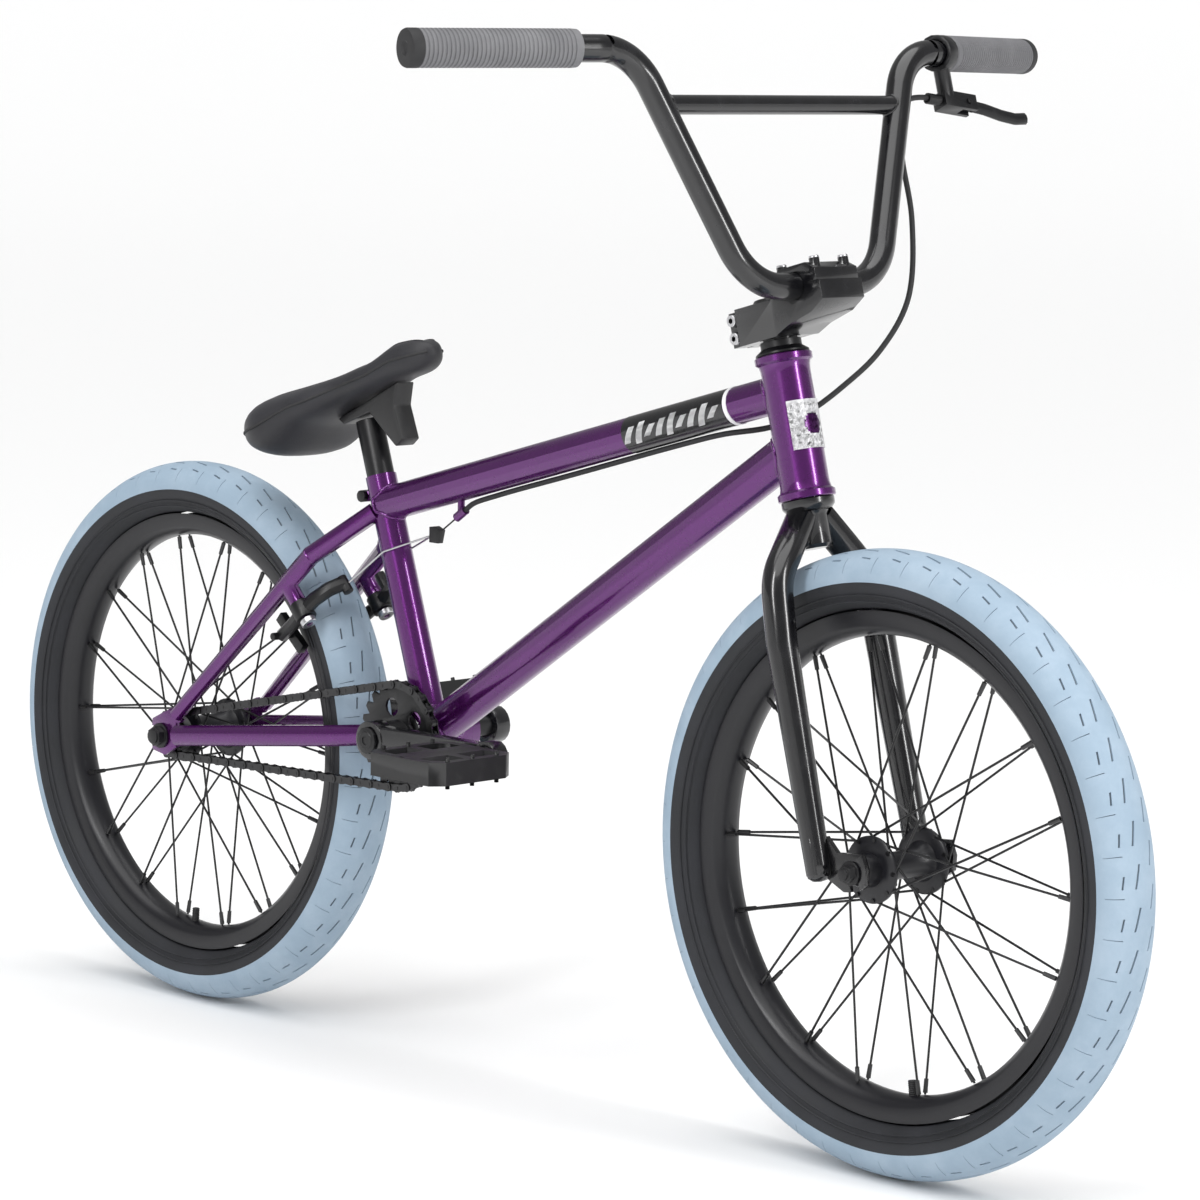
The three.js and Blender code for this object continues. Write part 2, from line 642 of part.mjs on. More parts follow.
function chain() {
  const back = new THREE.Vector2(0, 0);
  const front = new THREE.Vector2(BRACKET.x - REAR_AXLE.x, BRACKET.z - REAR_AXLE.z);
  const rear = pitchRadius(COG_TEETH);
  const fore = pitchRadius(SPROCKET_TEETH);
  const h = CHAIN_HALF_HEIGHT;
  const outline = beltOutline(THREE.Shape, back, rear + h, front, fore + h);
  outline.holes.push(beltOutline(THREE.Path, back, rear - h, front, fore - h));
  const band = plate(outline, CHAINLINE - CHAIN_WIDTH / 2, CHAINLINE + CHAIN_WIDTH / 2, 7);
  const low = CHAINLINE - TOOTH_WIDTH / 2 - GAP;
  const high = CHAINLINE + TOOTH_WIDTH / 2 + GAP;
  const rearTeeth = crossRod(0, 0, low, high, rear + 3 + GAP, 20);
  const foreTeeth = crossRod(front.x, front.y, low, high, fore + 3 + GAP, 32);
  return cut(band, rearTeeth, foreTeeth).translate([REAR_AXLE.x, 0, REAR_AXLE.z]);
}

function spindle() {
  const end = CRANK_IN + CRANK_THICKNESS;
  const bar = crossRod(0, 0, -end - 1, end + 1, SPINDLE_RADIUS, 16);
  const cap = (y) => crossRod(0, 0, y, y + 3, SPINDLE_RADIUS + 2.5, 12);
  return join(bar, cap(end + GAP), cap(-end - GAP - 3));
}

// A crank arm pointing along +X on the left side, with its spindle and pedal holes.
function crankArm() {
  const hubEnd = new THREE.Vector2(0, 0);
  const toe = new THREE.Vector2(CRANK_LENGTH, 0);
  const low = CRANK_IN + 1.5;
  const high = CRANK_IN + CRANK_THICKNESS - 1.5;
  const bar = plate(beltOutline(THREE.Shape, hubEnd, 13, toe, 10.5), low, high, 5);
  const boss = crossRod(0, 0, CRANK_IN, CRANK_IN + CRANK_THICKNESS, 17, 20);
  const toeBoss = crossRod(CRANK_LENGTH, 0, CRANK_IN, CRANK_IN + CRANK_THICKNESS, 14, 16);
  const bore = crossRod(0, 0, 0, 200, SPINDLE_RADIUS + GAP, 16);
  const thread = crossRod(CRANK_LENGTH, 0, 0, 200, 7 + GAP, 14);
  return cut(join(bar, boss, toeBoss), bore, thread);
}

function pedalAxle() {
  const face = CRANK_IN + CRANK_THICKNESS;
  const thread = crossRod(0, 0, CRANK_IN + 1, face + 1, 7, 14);
  const collar = crossRod(0, 0, face + GAP, face + 4, 9, 12);
  const shaft = crossRod(0, 0, face + 2, PEDAL_CENTRE + 38, PEDAL_AXLE_RADIUS, 12);
  return join(thread, collar, shaft);
}

// A platform pedal: a square cage with four windows, a barrel along its axle and traction pins.
function pedal() {
  const half = PEDAL_SIZE / 2;
  const top = PEDAL_HEIGHT / 2;
  const slab = (pairs, low, high) => {
    const options = { depth: high - low, bevelEnabled: false };
    return solid(new THREE.ExtrudeGeometry(polygon(pairs), options).translate(0, PEDAL_CENTRE, low));
  };
  const cage = slab([[-half, -half + 12], [-half + 9, -half], [half - 9, -half], [half, -half + 12],
    [half, half - 12], [half - 9, half], [-half + 9, half], [-half, half - 12]], -top, top);
  const windows = [];
  for (const [sx, sy] of [[-1, -1], [-1, 1], [1, -1], [1, 1]]) {
    const corners = [[15, 5], [37, 5], [37, 30], [28, 37], [15, 37]].map(([x, y]) => [sx * x, sy * y]);
    windows.push(slab(corners, -top - 1, top + 1));
  }
  const barrel = crossRod(0, 0, CRANK_IN + CRANK_THICKNESS + 6, PEDAL_CENTRE + half - 2, 11, 14);
  const pins = [];
  for (const x of [-41, 41]) {
    for (const y of [-28, 0, 28]) {
      pins.push(rod(at(x, PEDAL_CENTRE + y, -top - 3.5), at(x, PEDAL_CENTRE + y, top + 3.5), 2, 2, 6));
    }
  }
  const bore = crossRod(0, 0, 0, PEDAL_CENTRE + 40, PEDAL_AXLE_RADIUS + GAP, 12);
  return cut(join(cut(cage, ...windows), barrel, ...pins), bore);
}

// ---------------------------------------------------------------- fork, stem and bars (upright frame)

function steerer() {
  const seatOfRace = -HEAD_LENGTH / 2 - GAP;
  const race = turnedUpright([[0, -70], [19, -70], [22, -66], [22, seatOfRace], [0, seatOfRace], [0, -70]]);
  const tube = rod(at(0, 0, -102), at(0, 0, CLAMP_RISE - 9), STEERER_RADIUS, STEERER_RADIUS, 20);
  const gusset = block(at(-7, -24, -99), at(7, 24, -84));
  return join(tube, race, gusset);
}

function clearOfSteerer() {
  const race = rod(at(0, 0, -71), at(0, 0, -50), 22 + GAP, 22 + GAP, 24);
  const tube = rod(at(0, 0, -110), at(0, 0, -50), STEERER_RADIUS + GAP, STEERER_RADIUS + GAP, 20);
  const gusset = block(at(-7 - GAP, -24 - GAP, -99 - GAP), at(7 + GAP, 24 + GAP, -84 + GAP));
  return join(race, tube, gusset);
}

// The left fork leg with its dropout; the right one is its mirror image.
function forkLeg() {
  const tip = at(0, FORK_LEG_OUT, -AXLE_BELOW_HEAD + 3);
  const route = rounded([at(0, 10, -74), at(0, 52, -122), at(0, 58, -175)], [52], 5);
  const shoulder = sweep(route, FORK_LEG_RADIUS, 14);
  const shin = rod(at(0, 57.9, -173), tip, FORK_LEG_RADIUS, FORK_LEG_TIP_RADIUS, 14);
  const face = FRONT_DROPOUT_IN;
  const z = -AXLE_BELOW_HEAD;
  const outline = polygon([[-6, z + 34], [8, z + 34], [18, z + 18],
    [FORK_RAKE + 14, z + 13], [FORK_RAKE + 16, z],
    [FORK_RAKE + 12, z - 12], [FORK_RAKE + 5.7, z - 15], [FORK_RAKE + 5.7, z], [FORK_RAKE + 4, z + 4],
    [FORK_RAKE, z + 5.7], [FORK_RAKE - 4, z + 4], [FORK_RAKE - 5.7, z], [FORK_RAKE - 5.7, z - 15],
    [FORK_RAKE - 12, z - 14], [4, z - 2], [-6, z + 3]]);
  const tab = plate(outline, face, face + DROPOUT_THICKNESS);
  return cut(join(shoulder, shin, tab), clearOfSteerer());
}

function headsetCover() {
  const low = HEAD_LENGTH / 2 + GAP;
  const inner = STEERER_RADIUS + GAP;
  const profile = [[inner, low], [22.5, low], [22.5, low + 2], [17, low + 6], [17, 72], [inner, 72],
    [inner, low]];
  return turnedUpright(profile, 20);
}

// The stem's lower body; the bar lies in its open cradle.
function stemBody() {
  const split = CLAMP_RISE - GAP / 2;
  const side = polygon([[-26, 73], [20, 73], [36, 79], [62, 84], [77, 92], [77, split], [24, split],
    [18, 104], [-26, 104]]);
  const body = plate(side, -25, 25);
  const waist = [-30, 21].map((low) => block(at(-30, low, 60), at(20, low + 9, 120)));
  const bore = rod(at(0, 0, 60), at(0, 0, 120), STEERER_RADIUS + GAP, STEERER_RADIUS + GAP, 20);
  const cradle = crossRod(CLAMP_REACH, CLAMP_RISE, -60, 60, BAR_RADIUS + GAP, 16);
  const slit = block(at(-60, -1.2, 60), at(-5, 1.2, 120));
  const ears = block(at(-40, -14, 74), at(-24, 14, 103));
  const bolts = [81, 96].map((z) => crossRod(-33, z, -17, -12, 5.5, 12));
  return cut(join(body, ears, ...bolts), ...waist, bore, cradle, slit);
}

function stemCap() {
  const split = CLAMP_RISE + GAP / 2;
  const side = polygon([[26, split], [74, split], [74, 118], [64, 124.5], [34, 124.5], [26, 118]]);
  const cradle = crossRod(CLAMP_REACH, CLAMP_RISE, -60, 60, BAR_RADIUS + GAP, 16);
  const bolts = [];
  for (const x of [31, 68]) {
    for (const y of [-17, 17]) bolts.push(rod(at(x, y, 115), at(x, y, 127), 4.5, 4.5, 10));
  }
  return cut(join(plate(side, -25, 25), ...bolts), cradle);
}

function steererCap() {
  const low = CLAMP_RISE - 4 + GAP;
  return turnedUpright([[0, low], [17, low], [17, low + 2.5], [13, low + 3.6], [0, low + 3.6], [0, low]], 18);
}

function barPoint(y, rise) {
  return at(CLAMP_REACH - rise * Math.sin(BAR_LEAN), y, CLAMP_RISE + rise * Math.cos(BAR_LEAN));
}

function gripPoint(y) {
  const out = y - GRIP_BEND;
  const start = barPoint(GRIP_BEND, BAR_RISE);
  return at(start.x - BACKSWEEP * out, y, start.z + UPSWEEP * out);
}

// The left half of the bar's centreline, from the clamp to the bar end.
function barRoute() {
  const shoulder = BAR_FOOT + BAR_SPREAD * BAR_RISE;
  const corners = [barPoint(0, 0), barPoint(BAR_FOOT, 0), barPoint(shoulder, BAR_RISE),
    barPoint(GRIP_BEND, BAR_RISE), gripPoint(BAR_END)];
  return rounded(corners, [55, 50, 40], 5);
}

function handlebar() {
  const left = barRoute();
  const right = left.slice(1).map((p) => at(p.x, -p.y, p.z)).reverse();
  const tube = sweep([...right, ...left], BAR_RADIUS, 12);
  const reach = BAR_FOOT + BAR_SPREAD * CROSSBAR_HEIGHT;
  const ends = [barPoint(-reach, CROSSBAR_HEIGHT), barPoint(reach, CROSSBAR_HEIGHT)];
  const crossbar = rod(...ends, CROSSBAR_RADIUS, CROSSBAR_RADIUS, 12);
  return join(tube, crossbar);
}

// The room a round bar takes, with a margin for its flat facets.
function barSpace(from, to) {
  const radius = BAR_RADIUS + 2 * GAP + 0.2;
  return rod(from, to, radius, radius, 16);
}

function grip() {
  const inner = gripPoint(GRIP_START);
  const outer = gripPoint(BAR_END + 4);
  const out = outer.clone().sub(inner).normalize();
  const sleeve = rod(inner, outer, GRIP_RADIUS, GRIP_RADIUS, 18);
  return cut(sleeve, barSpace(along(inner, out, -10), along(gripPoint(BAR_END), out, GAP)));
}

// The brake lever's bracket. Its body is drawn in the lever's own group, whose Y runs out
// along the lever and Z up to the grip, and is carried to the bar by that group's matrix.
function leverBracket(carry) {
  const place = gripPoint(LEVER_PLACE);
  const ringAxis = gripPoint(LEVER_PLACE + 1).sub(place).normalize();
  const ringRadius = BAR_RADIUS + 4.5;
  const ring = rod(along(place, ringAxis, -7), along(place, ringAxis, 7), ringRadius, ringRadius, 16);
  const arm = rod(along(place, at(0, 0, -1), 8), at(0, -18, 0).applyMatrix4(carry), 7, 7, 12);
  const body = block(at(-8, -27, -7), at(8, 9, 7));
  const barrel = rod(at(0, -41, 0), at(0, -25, 0), 4.8, 4.8, 10);
  const slot = block(at(-4.4, -5, -10), at(4.4, 12, 10));
  const cableHole = rod(at(0, -45, 0), at(0, -4, 0), 3.2, 3.2, 8);
  const pinHole = rod(at(-20, 0, 0), at(20, 0, 0), 2.7, 2.7, 8);
  const spaces = [slot, cableHole, pinHole].map((space) => space.transform(carry.elements));
  const solidBody = join(body, barrel).transform(carry.elements);
  const bar = barSpace(along(place, ringAxis, -20), along(place, ringAxis, 20));
  return cut(join(ring, arm, solidBody), bar, ...spaces);
}

function brakeLever() {
  const pin = rod(at(-9.5, 0, 0), at(9.5, 0, 0), 2.2, 2.2, 8);
  const root = block(at(-4, -4, -4), at(4, 13, 4));
  const route = [at(0, 9, 0), at(0, 24, -1), at(0, 42, -4), at(0, 58, -5), at(0, 70, -3)];
  return join(root, pin, sweep(route, 4, 10, 5.5));
}

// ---------------------------------------------------------------- rear brake and cables

// The left brake arm: pivot hub, arm over the tyre, and the pad holder with its pad.
function brakeArm() {
  const low = BRAKE_PROUD - 8;
  const high = BRAKE_PROUD + 8;
  const pivot = brakeRod(low, high, 10, 14);
  const bore = brakeRod(low - 5, high + 5, 4 + GAP, 10);
  const over = sweep([brakePoint(BRAKE_SIDE, BRAKE_ALONG, BRAKE_PROUD), brakePoint(44, 258, BRAKE_PROUD),
    brakePoint(36, 272, BRAKE_PROUD), brakePoint(23, 280, BRAKE_PROUD)], 6, 8, 7);
  const down = sweep([brakePoint(BRAKE_SIDE, BRAKE_ALONG, BRAKE_PROUD), brakePoint(43, 218, BRAKE_PROUD - 2),
    brakePoint(39, PAD_ALONG, BRAKE_PROUD - 6)], 6, 8, 6);
  const padFace = RIM_WIDTH / 2 + PAD_GAP;
  const behind = BRAKE_PROUD - 6;
  const stud = rod(brakePoint(padFace + 6, PAD_ALONG, behind),
    brakePoint(50, PAD_ALONG, behind), 3.5, 3.5, 8);
  const padEnds = [[PAD_ALONG - 4, BRAKE_PROUD - 30], [PAD_ALONG + 1, BRAKE_PROUD + 12]];
  const pad = sweep(padEnds.map(([distance, proud]) => brakePoint(padFace + 5, distance, proud)), 5, 4, 7);
  const anchor = rod(brakePoint(23, 280, BRAKE_PROUD - 6), brakePoint(23, 280, BRAKE_PROUD + 10), 5, 5, 10);
  return cut(join(pivot, over, down, stud, pad, anchor), bore);
}

// The hanger and the bare wire that runs up from it into the cable stop.
function hanger() {
  const carrier = plate(polygon([[-7, -7], [5, -7], [8, 5], [0, 8], [-7, 7]]), -3, 3);
  const wire = rod(along(HANGER, WIRE_UP, 2), along(CABLE_STOP, WIRE_UP, -3), 0.8, 0.8, 6);
  return join(carrier.translate(HANGER.toArray()), wire);
}

// One wire from each brake arm, round the seat tube, to the hanger's back edge.
function straddleWire() {
  const half = (side) => {
    const anchor = brakePoint(side * 23, 286.5, BRAKE_PROUD + 4);
    const beside = at(along(BRACKET, SEAT_UP, 166).x, side * 16.2, 456);
    const meet = at(HANGER.x - 9, side * 1.5, HANGER.z - 2);
    return [anchor, beside, meet];
  };
  const right = half(-1);
  return sweep([...half(1), ...right.reverse()], 0.8, 6);
}

// The cable's housing: out of the lever, round behind the bar and along under the top tube.
function brakeCable(leverPlace, leverAxis) {
  const knots = [
    leverPlace,
    along(leverPlace, leverAxis, 14),
    at(283, 166, 868),
    at(284, 158, 850),
    at(293, 153, 820),
    at(311, 147, 770),
    at(324, 130, 705),
    at(321, 100, 663),
    at(313, 66, 635),
    at(300, 36, 613),
    at(276, 19, 600),
    underTopTube(435, 20),
    underTopTube(390, 19),
    underTopTube(250, 19),
    underTopTube(150, 19),
    along(CABLE_STOP, WIRE_UP, 18),
    along(CABLE_STOP, WIRE_UP, 8),
    along(CABLE_STOP, WIRE_UP, 2),
  ];
  const curve = new THREE.CatmullRomCurve3(knots, false, 'centripetal');
  return sweep(curve.getSpacedPoints(56), 2.4, 8);
}

// ---------------------------------------------------------------- seat

const SEAT_POST_TOP = along(SEAT_TOP, SEAT_UP, 52);
const SEAT_TILT = radians(-18);
const SEAT_BACK = -137;
const SEAT_NOSE = 108;

function seatPost() {
  const inner = SEAT_POST_RADIUS - 2.5;
  return cut(rod(along(SEAT_TOP, SEAT_UP, -90), SEAT_POST_TOP, SEAT_POST_RADIUS, SEAT_POST_RADIUS, 16),
    rod(along(SEAT_TOP, SEAT_UP, -95), along(SEAT_POST_TOP, SEAT_UP, -8), inner, inner, 12));
}

function between(table, u) {
  let i = 0;
  while (i < table.length - 2 && u > table[i + 1][0]) i++;
  const [u0, v0] = table[i];
  const [u1, v1] = table[i + 1];
  return v0 + ((v1 - v0) * (u - u0)) / (u1 - u0);
}

// The padded top: a long rounded body, wide at the tail and narrow at the nose.
function seatPad() {
  const halfWidth = [[SEAT_BACK, 58], [-90, 66], [-40, 52], [10, 33], [60, 25], [SEAT_NOSE, 22]];
  const crown = [[SEAT_BACK, 40], [-90, 47], [-20, 44], [30, 46], [75, 56], [SEAT_NOSE, 58]];
  const belly = [[SEAT_BACK, -4], [-90, -12], [-40, 8], [10, 18], [60, 25], [SEAT_NOSE, 26]];
  const geometry = new THREE.SphereGeometry(1, 20, 16).rotateZ(Math.PI / 2);
  const spots = geometry.attributes.position;
  for (let i = 0; i < spots.count; i++) {
    const s = spots.getX(i);
    const length = Math.sqrt(Math.max(1 - s * s, 0));
    const swell = Math.sqrt(1 - s ** 6) * (length > 1e-6 ? 1 : 0);
    const u = SEAT_BACK + ((s + 1) / 2) * (SEAT_NOSE - SEAT_BACK);
    const side = length > 1e-6 ? spots.getY(i) / length : 0;
    const rise = length > 1e-6 ? spots.getZ(i) / length : 0;
    const top = between(crown, u);
    const low = between(belly, u);
    const round = (v) => Math.sign(v) * Math.abs(v) ** 0.8;
    const height = (top + low + swell * round(rise) * (top - low)) / 2;
    spots.setXYZ(i, u, swell * round(side) * between(halfWidth, u), height);
  }
  return solid(geometry);
}

// The plastic base under the pad, with the skirt in front of the post.
function seatBase() {
  const outline = polygon([[-24, 2], [14, 4], [30, -20], [40, -34], [50, -30], [48, 2], [58, 21], [-30, 9]]);
  return plate(outline, -11, 11);
}

// ---------------------------------------------------------------- the whole bike

function buildFrame() {
  const leaning = groupAt(bike, HEAD);
  leaning.rotation.y = HEAD_ANGLE - Math.PI / 2;
  add(leaning, 'head_tube', headTube(), PURPLE);
  add(leaning, 'upper_headset_bearing', headsetBearing(1), STEEL);
  add(leaning, 'lower_headset_bearing', headsetBearing(-1), STEEL);
  add(bike, 'top_tube', topTube(), PURPLE);
  add(bike, 'down_tube', downTube(), PURPLE);
  add(bike, 'seat_tube', seatTube(), PURPLE);
  add(bike, 'seat_clamp_bolt', seatClampBolt(), BLACK_SATIN);
  add(bike, 'chainstay_left', chainStay(), PURPLE);
  add(bike, 'chainstay_right', mirrored(chainStay()), PURPLE);
  add(bike, 'seatstay_left', seatStay(), PURPLE);
  add(bike, 'seatstay_right', mirrored(seatStay()), PURPLE);
  add(bike, 'dropout_left', rearDropout(), PURPLE);
  add(bike, 'dropout_right', mirrored(rearDropout()), PURPLE);
  const shellGroup = groupAt(bike, BRACKET);
  add(shellGroup, 'bottom_bracket_shell', bracketShell(), PURPLE);
  add(shellGroup, 'bracket_bearing_left', bracketBearing(1), STEEL);
  add(shellGroup, 'bracket_bearing_right', bracketBearing(-1), STEEL);
  const rearAxle = axleWithNuts(REAR_AXLE_RADIUS, REAR_DROPOUT_IN + DROPOUT_THICKNESS, 9.5);
  add(groupAt(bike, REAR_AXLE), 'rear_axle', rearAxle, BLACK_SATIN);
  add(bike, 'chain', chain(), BLACK_SATIN);
}

function buildWheels() {
  const frontHub = hub(33, -33, 48, -48, FRONT_AXLE_RADIUS + 0.6, 14);
  const rearHub = hub(31, -27, 46, -33, REAR_AXLE_RADIUS + 0.6, 17);
  wheel('front', FRONT_AXLE, FRONT_VALVE_ANGLE, [33, -33], frontHub);
  wheel('rear', REAR_AXLE, REAR_VALVE_ANGLE, [31, -27], rearHub);
  add(groupAt(bike, REAR_AXLE), 'driver_cog', cog(), STEEL);
}

function buildCranks() {
  const group = groupAt(bike, BRACKET);
  group.rotation.y = -CRANK_ANGLE;
  add(group, 'crank_spindle', spindle(), BLACK_SATIN);
  add(group, 'sprocket', sprocket(), BLACK_SATIN);
  add(group, 'crank_arm_right', mirrored(crankArm()), BLACK_GLOSS);
  add(group, 'crank_arm_left', crankArm().mirror([1, 0, 0]), BLACK_GLOSS);
  const rightToe = groupAt(group, at(CRANK_LENGTH, 0, 0));
  const leftToe = groupAt(group, at(-CRANK_LENGTH, 0, 0));
  add(rightToe, 'pedal_axle_right', mirrored(pedalAxle()), STEEL);
  add(leftToe, 'pedal_axle_left', pedalAxle(), STEEL);
  rightToe.rotation.y = RIGHT_PEDAL_TILT + CRANK_ANGLE;
  leftToe.rotation.y = LEFT_PEDAL_TILT + CRANK_ANGLE;
  add(rightToe, 'pedal_right', mirrored(pedal()), BLACK_PLASTIC);
  add(leftToe, 'pedal_left', pedal(), BLACK_PLASTIC);
}

function buildSteering() {
  const group = groupAt(bike, HEAD);
  group.rotation.y = HEAD_ANGLE - Math.PI / 2;
  add(group, 'fork_steerer', steerer(), BLACK_GLOSS);
  add(group, 'fork_leg_left', forkLeg(), BLACK_GLOSS);
  add(group, 'fork_leg_right', mirrored(forkLeg()), BLACK_GLOSS);
  add(group, 'headset_cover', headsetCover(), BLACK_SATIN);
  add(group, 'stem_body', stemBody(), BLACK_GLOSS);
  add(group, 'stem_cap', stemCap(), BLACK_GLOSS);
  add(group, 'steerer_cap', steererCap(), BLACK_SATIN);
  add(group, 'handlebar', handlebar(), BLACK_GLOSS);
  add(group, 'grip_left', grip(), GRIP_GREY);
  add(group, 'grip_right', mirrored(grip()), GRIP_GREY);
  const axle = groupAt(group, at(FORK_RAKE, 0, -AXLE_BELOW_HEAD));
  const frontAxle = axleWithNuts(FRONT_AXLE_RADIUS, FRONT_DROPOUT_IN + DROPOUT_THICKNESS, 7.5);
  add(axle, 'front_axle', frontAxle, BLACK_SATIN);
  const lever = groupAt(group, LEVER_PIVOT);
  lever.rotation.set(...LEVER_TURN);
  lever.updateMatrix();
  add(group, 'lever_bracket', leverBracket(lever.matrix), BLACK_SATIN);
  add(lever, 'brake_lever', brakeLever(), BLACK_SATIN);
  return lever;
}

function buildBrake(lever) {
  lever.updateWorldMatrix(true, false);
  const leverPlace = at(0, -34, 0).applyMatrix4(lever.matrixWorld);
  const leverAxis = at(0, -1, 0).transformDirection(lever.matrixWorld);
  add(bike, 'brake_arm_left', brakeArm(), BLACK_SATIN);
  add(bike, 'brake_arm_right', mirrored(brakeArm()), BLACK_SATIN);
  add(bike, 'straddle_hanger', hanger(), BLACK_SATIN);
  add(bike, 'straddle_wire', straddleWire(), STEEL);
  add(bike, 'brake_cable', brakeCable(leverPlace, leverAxis), BLACK_SATIN);
}

function buildSeat() {
  add(bike, 'seat_post', seatPost(), BLACK_SATIN);
  const group = groupAt(bike, SEAT_POST_TOP);
  group.rotation.y = SEAT_TILT;
  add(group, 'seat_pad', seatPad(), SEAT_CLOTH);
  add(group, 'seat_base', seatBase(), BLACK_PLASTIC);
}

buildFrame();
buildWheels();
buildCranks();
buildBrake(buildSteering());
buildSeat();

export default bike;
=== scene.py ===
"""A freestyle bike with purple frame, black fork and bars, and blue-grey tyres.

Pieces are made in millimetres and finished in metres. The camera, lights and floor are in metres.
"""
import math

import bmesh
import bpy
from mathutils import Matrix, Vector


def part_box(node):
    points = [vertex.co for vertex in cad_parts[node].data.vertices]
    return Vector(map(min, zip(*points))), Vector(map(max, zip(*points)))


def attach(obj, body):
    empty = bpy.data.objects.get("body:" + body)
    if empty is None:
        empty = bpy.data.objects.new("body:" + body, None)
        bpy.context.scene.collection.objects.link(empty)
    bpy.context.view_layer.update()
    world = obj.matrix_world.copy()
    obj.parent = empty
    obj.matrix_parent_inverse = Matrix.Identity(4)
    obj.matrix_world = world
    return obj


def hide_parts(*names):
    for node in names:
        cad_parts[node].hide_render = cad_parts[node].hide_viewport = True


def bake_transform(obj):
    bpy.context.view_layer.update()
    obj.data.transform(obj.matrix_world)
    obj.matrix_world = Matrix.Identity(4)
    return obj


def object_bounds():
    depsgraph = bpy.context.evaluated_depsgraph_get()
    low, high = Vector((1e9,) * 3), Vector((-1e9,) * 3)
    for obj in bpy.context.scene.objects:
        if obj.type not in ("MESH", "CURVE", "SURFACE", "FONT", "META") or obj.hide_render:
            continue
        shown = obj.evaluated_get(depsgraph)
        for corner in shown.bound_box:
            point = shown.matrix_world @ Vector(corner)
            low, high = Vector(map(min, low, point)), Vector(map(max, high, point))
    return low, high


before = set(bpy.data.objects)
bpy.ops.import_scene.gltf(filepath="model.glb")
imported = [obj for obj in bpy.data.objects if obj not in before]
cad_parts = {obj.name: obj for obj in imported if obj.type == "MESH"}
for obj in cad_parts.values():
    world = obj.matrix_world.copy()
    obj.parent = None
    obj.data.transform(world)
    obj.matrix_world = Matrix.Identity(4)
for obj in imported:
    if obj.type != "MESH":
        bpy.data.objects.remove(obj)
cad_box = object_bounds()
MM = 0.001
TO_MM = 1000

# ---------------------------------------------------------------- camera, floor and lights


CAMERA_YAW, CAMERA_PITCH, CAMERA_ROLL = 135.967, -7.253, -0.902
CAMERA_STAND = Vector((2.7780, -2.5949, 0.4509))
CAMERA_LENS = 131.24
FLOOR_FLAT = 18
FLOOR_BEND = 30
FLOOR_STEPS = 72


def set_camera():
    """Stands the camera off the middle of the bike, in metres and degrees."""
    yaw, pitch, roll = (math.radians(a) for a in (CAMERA_YAW, CAMERA_PITCH, CAMERA_ROLL))
    ahead = Vector((math.cos(yaw) * math.cos(pitch), math.sin(yaw) * math.cos(pitch), math.sin(pitch)))
    level = Vector((math.sin(yaw), -math.cos(yaw), 0))
    down = ahead.cross(level)
    right = math.cos(roll) * level + math.sin(roll) * down
    up = math.sin(roll) * level - math.cos(roll) * down
    data = bpy.data.cameras.new("camera")
    data.lens = CAMERA_LENS
    data.sensor_width = 36
    camera = bpy.data.objects.new("camera", data)
    bpy.context.scene.collection.objects.link(camera)
    turn = Matrix((right, up, -ahead)).transposed().to_4x4()
    middle = (Vector(cad_box[0]) + Vector(cad_box[1])) / 2
    camera.matrix_world = Matrix.Translation(middle + CAMERA_STAND) @ turn
    bpy.context.scene.camera = camera


def add_light(name, place, target, size, power):
    data = bpy.data.lights.new(name, "AREA")
    data.shape = "RECTANGLE"
    data.size, data.size_y = size
    data.energy = power
    light = bpy.data.objects.new(name, data)
    bpy.context.scene.collection.objects.link(light)
    light.location = place
    aim = Vector(target) - Vector(place)
    light.rotation_euler = aim.to_track_quat("-Z", "Y").to_euler()


def spin_round(bm, profile, steps, closed=False):
    """Spins a profile of [radius, height] pairs once round Z."""
    corners = [bm.verts.new((r, 0, h)) for r, h in profile]
    edges = [bm.edges.new(pair) for pair in zip(corners, corners[1:])]
    if closed:
        edges.append(bm.edges.new((corners[-1], corners[0])))
    bmesh.ops.spin(bm, geom=corners + edges, cent=(0, 0, 0), axis=(0, 0, 1), dvec=(0, 0, 0),
                   angle=2 * math.pi, steps=steps, use_merge=True, use_duplicate=False)


def backdrop():
    """A wide pale floor whose far edge rises gently all round, in metres."""
    made = bmesh.new()
    curve = [(0, 0), (FLOOR_FLAT / 2, 0), (FLOOR_FLAT, 0)]
    for degrees in range(4, 37, 4):
        angle = math.radians(degrees)
        curve.append((FLOOR_FLAT + FLOOR_BEND * math.sin(angle), FLOOR_BEND - FLOOR_BEND * math.cos(angle)))
    spin_round(made, curve, FLOOR_STEPS)
    bmesh.ops.remove_doubles(made, verts=made.verts, dist=0.001)
    bmesh.ops.recalc_face_normals(made, faces=made.faces)
    bmesh.ops.translate(made, vec=(0, 0, -0.0005), verts=made.verts)
    mesh = bpy.data.meshes.new("backdrop")
    made.to_mesh(mesh)
    made.free()
    mesh.shade_smooth()
    mesh.materials.append(pale_floor())
    floor = bpy.data.objects.new("backdrop", mesh)
    bpy.context.scene.collection.objects.link(floor)


